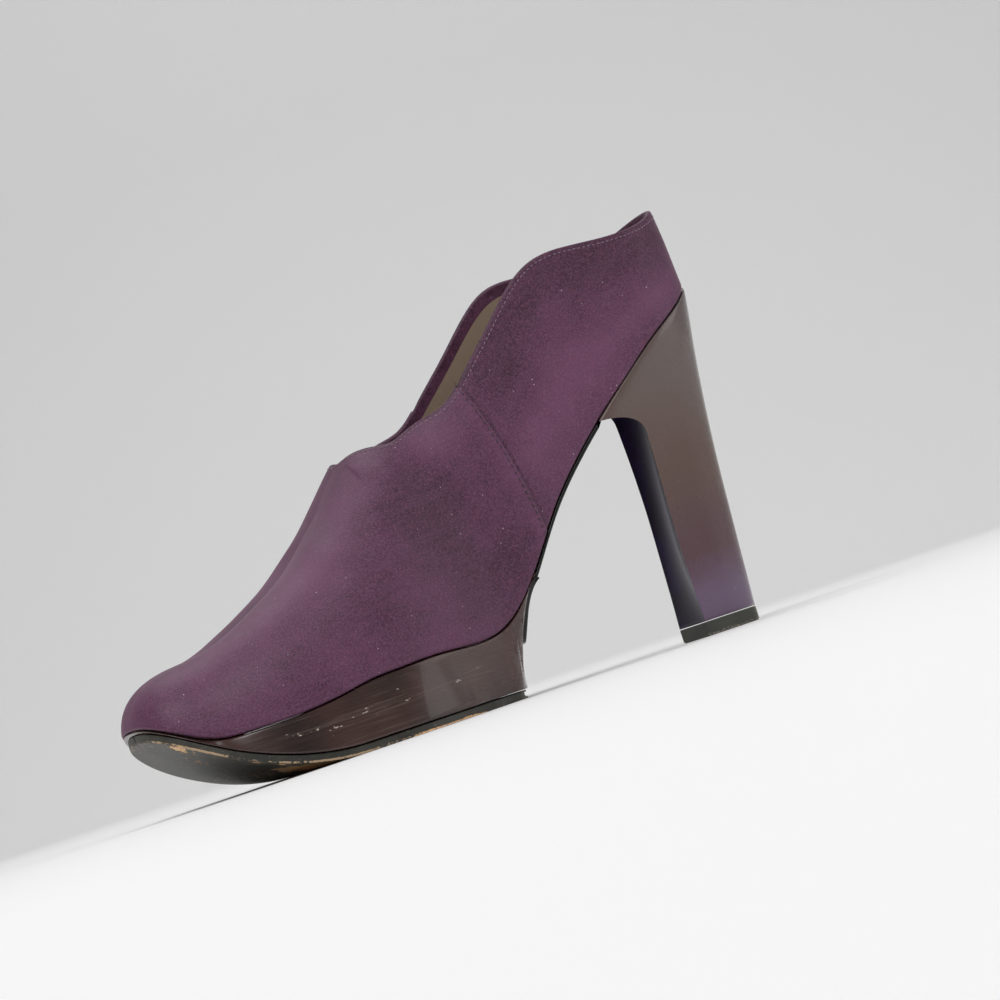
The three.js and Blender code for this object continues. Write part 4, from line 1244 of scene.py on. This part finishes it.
def plainPaint(name, tint, wallTint, roughness):
    material, tree, coords = startMaterial(name)
    onWall = marked(tree, "onWall")
    colour = blend(tree, onWall, linear(tint), linear(wallTint))
    tooth = noise(tree, coords.outputs["Object"], 4, 3.0)
    bump = dent(tree, 0.05, 0.0002, tooth)
    return coated(material, tree, {"Base Color": colour, "Roughness": roughness, "Normal": bump})


camera = {
    "azimuth": 65.66, "distance": 1.0, "height": 0.012, "roll": 18.5, "focalPixels": 3164.0,
    "target": (0.0, 0.0, 0.066), "picture": 1000, "sensor": 36.0, "slide": (0.028, 0.005),
}


def addCamera():
    target = Vector(camera["target"])
    around = math.radians(camera["azimuth"])
    level = math.sqrt(camera["distance"] ** 2 - (camera["height"] - target.z) ** 2)
    spot = Vector((target.x + level * math.cos(around), target.y + level * math.sin(around),
                   camera["height"]))
    ahead = (target - spot).normalized()
    right = ahead.cross(Vector((0, 0, 1))).normalized()
    up = right.cross(ahead)
    roll = math.radians(camera["roll"])
    tiltedUp = math.cos(roll) * up + math.sin(roll) * right
    tiltedRight = math.cos(roll) * right - math.sin(roll) * up
    spot = spot + tiltedRight * camera["slide"][0] + tiltedUp * camera["slide"][1]
    lens = bpy.data.cameras.new("studio_camera")
    lens.sensor_width = camera["sensor"]
    lens.lens = camera["focalPixels"] / camera["picture"] * camera["sensor"]
    lens.clip_start = 0.01
    viewer = bpy.data.objects.new("studio_camera", lens)
    axes = Matrix((tiltedRight, tiltedUp, -ahead)).transposed().to_4x4()
    viewer.matrix_world = Matrix.Translation(spot) @ axes
    bpy.context.scene.collection.objects.link(viewer)
    bpy.context.scene.camera = viewer
    return ahead, right


ahead, right = addCamera()


def addSweep():
    # a floor that bends up into the wall behind the shoe, as seen by the camera
    level = Vector((ahead.x, ahead.y, 0)).normalized()
    side = Vector((right.x, right.y, 0)).normalized()
    profile = [(-stand["bendStart"] - 1.0, 0.0), (stand["bendStart"], 0.0)]
    for turn in np.linspace(0, math.pi / 2, 24)[1:]:
        profile.append((stand["bendStart"] + stand["bendRound"] * math.sin(turn),
                        stand["bendRound"] * (1 - math.cos(turn))))
    profile.append((stand["bendStart"] + stand["bendRound"], stand["tall"]))
    mesh = bpy.data.meshes.new("studio_sweep")
    spots, faces = [], []
    for k, (far, up) in enumerate(profile):
        for wide in (-stand["wide"], stand["wide"]):
            spots.append(level * far + side * wide + Vector((0, 0, up)))
        if k:
            faces.append((2 * k - 2, 2 * k - 1, 2 * k + 1, 2 * k))
    mesh.from_pydata(spots, [], faces)
    mesh.polygons.foreach_set("use_smooth", np.ones(len(mesh.polygons), bool))
    onWall = mesh.attributes.new("onWall", "FLOAT", "POINT")
    heights = np.array([spot.z for spot in spots], np.float32)
    onWall.data.foreach_set("value", np.clip(heights / stand["bendRound"], 0, 1).astype(np.float32))
    mesh.materials.append(plainPaint("white_floor_paint", stand["floor"], stand["wall"], 0.6))
    sweep = bpy.data.objects.new("studio_sweep", mesh)
    bpy.context.scene.collection.objects.link(sweep)


addSweep()


def addLight(name, spot, size, power, tint="#ffffff"):
    data = bpy.data.lights.new(name, "AREA")
    data.shape = "RECTANGLE"
    data.size, data.size_y = size
    data.energy = power
    data.color = linear(tint)[:3]
    lamp = bpy.data.objects.new(name, data)
    toward = Vector((0, 0, 0.06)) - Vector(spot)
    turned = toward.to_track_quat("-Z", "Y").to_matrix().to_4x4()
    lamp.matrix_world = Matrix.Translation(Vector(spot)) @ turned
    bpy.context.scene.collection.objects.link(lamp)


addLight("key_softbox", (0.7, 0.9, 1.2), (0.9, 0.9), 11.5)
addLight("fill_softbox", (-1.2, 0.8, 0.6), (0.8, 1.2), 3.5)
addLight("top_softbox", (-0.2, -0.4, 1.6), (1.4, 1.4), 10)

world = bpy.data.worlds.new("studio_air")
bpy.context.scene.world = world
world.use_nodes = True
world.node_tree.nodes["Background"].inputs["Color"].default_value = linear("#e6e6e6")
world.node_tree.nodes["Background"].inputs["Strength"].default_value = 0.3
bpy.context.scene.view_settings.view_transform = "Standard"

print("stage: riding and hand-over")

rides = [
    (satinUpper, "upper", "upper"), (lining, "upper", "upper"), (insoleSock, "insole", "insole"),
    (platformCover, "platform_cover", "platform_cover"), (leatherOutsole, "outsole", "outsole"),
    (waistCover, "waist_cover", "waist_cover"), (resinHeel, "heel", "heel"),
    (rubberTop, "top_piece", "top_piece"),
]
for piece, node, slot in rides:
    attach(piece, "root")
    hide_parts(node)
for piece in (collarStitches, *seamStitches, threadEnds):
    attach(piece, "root")
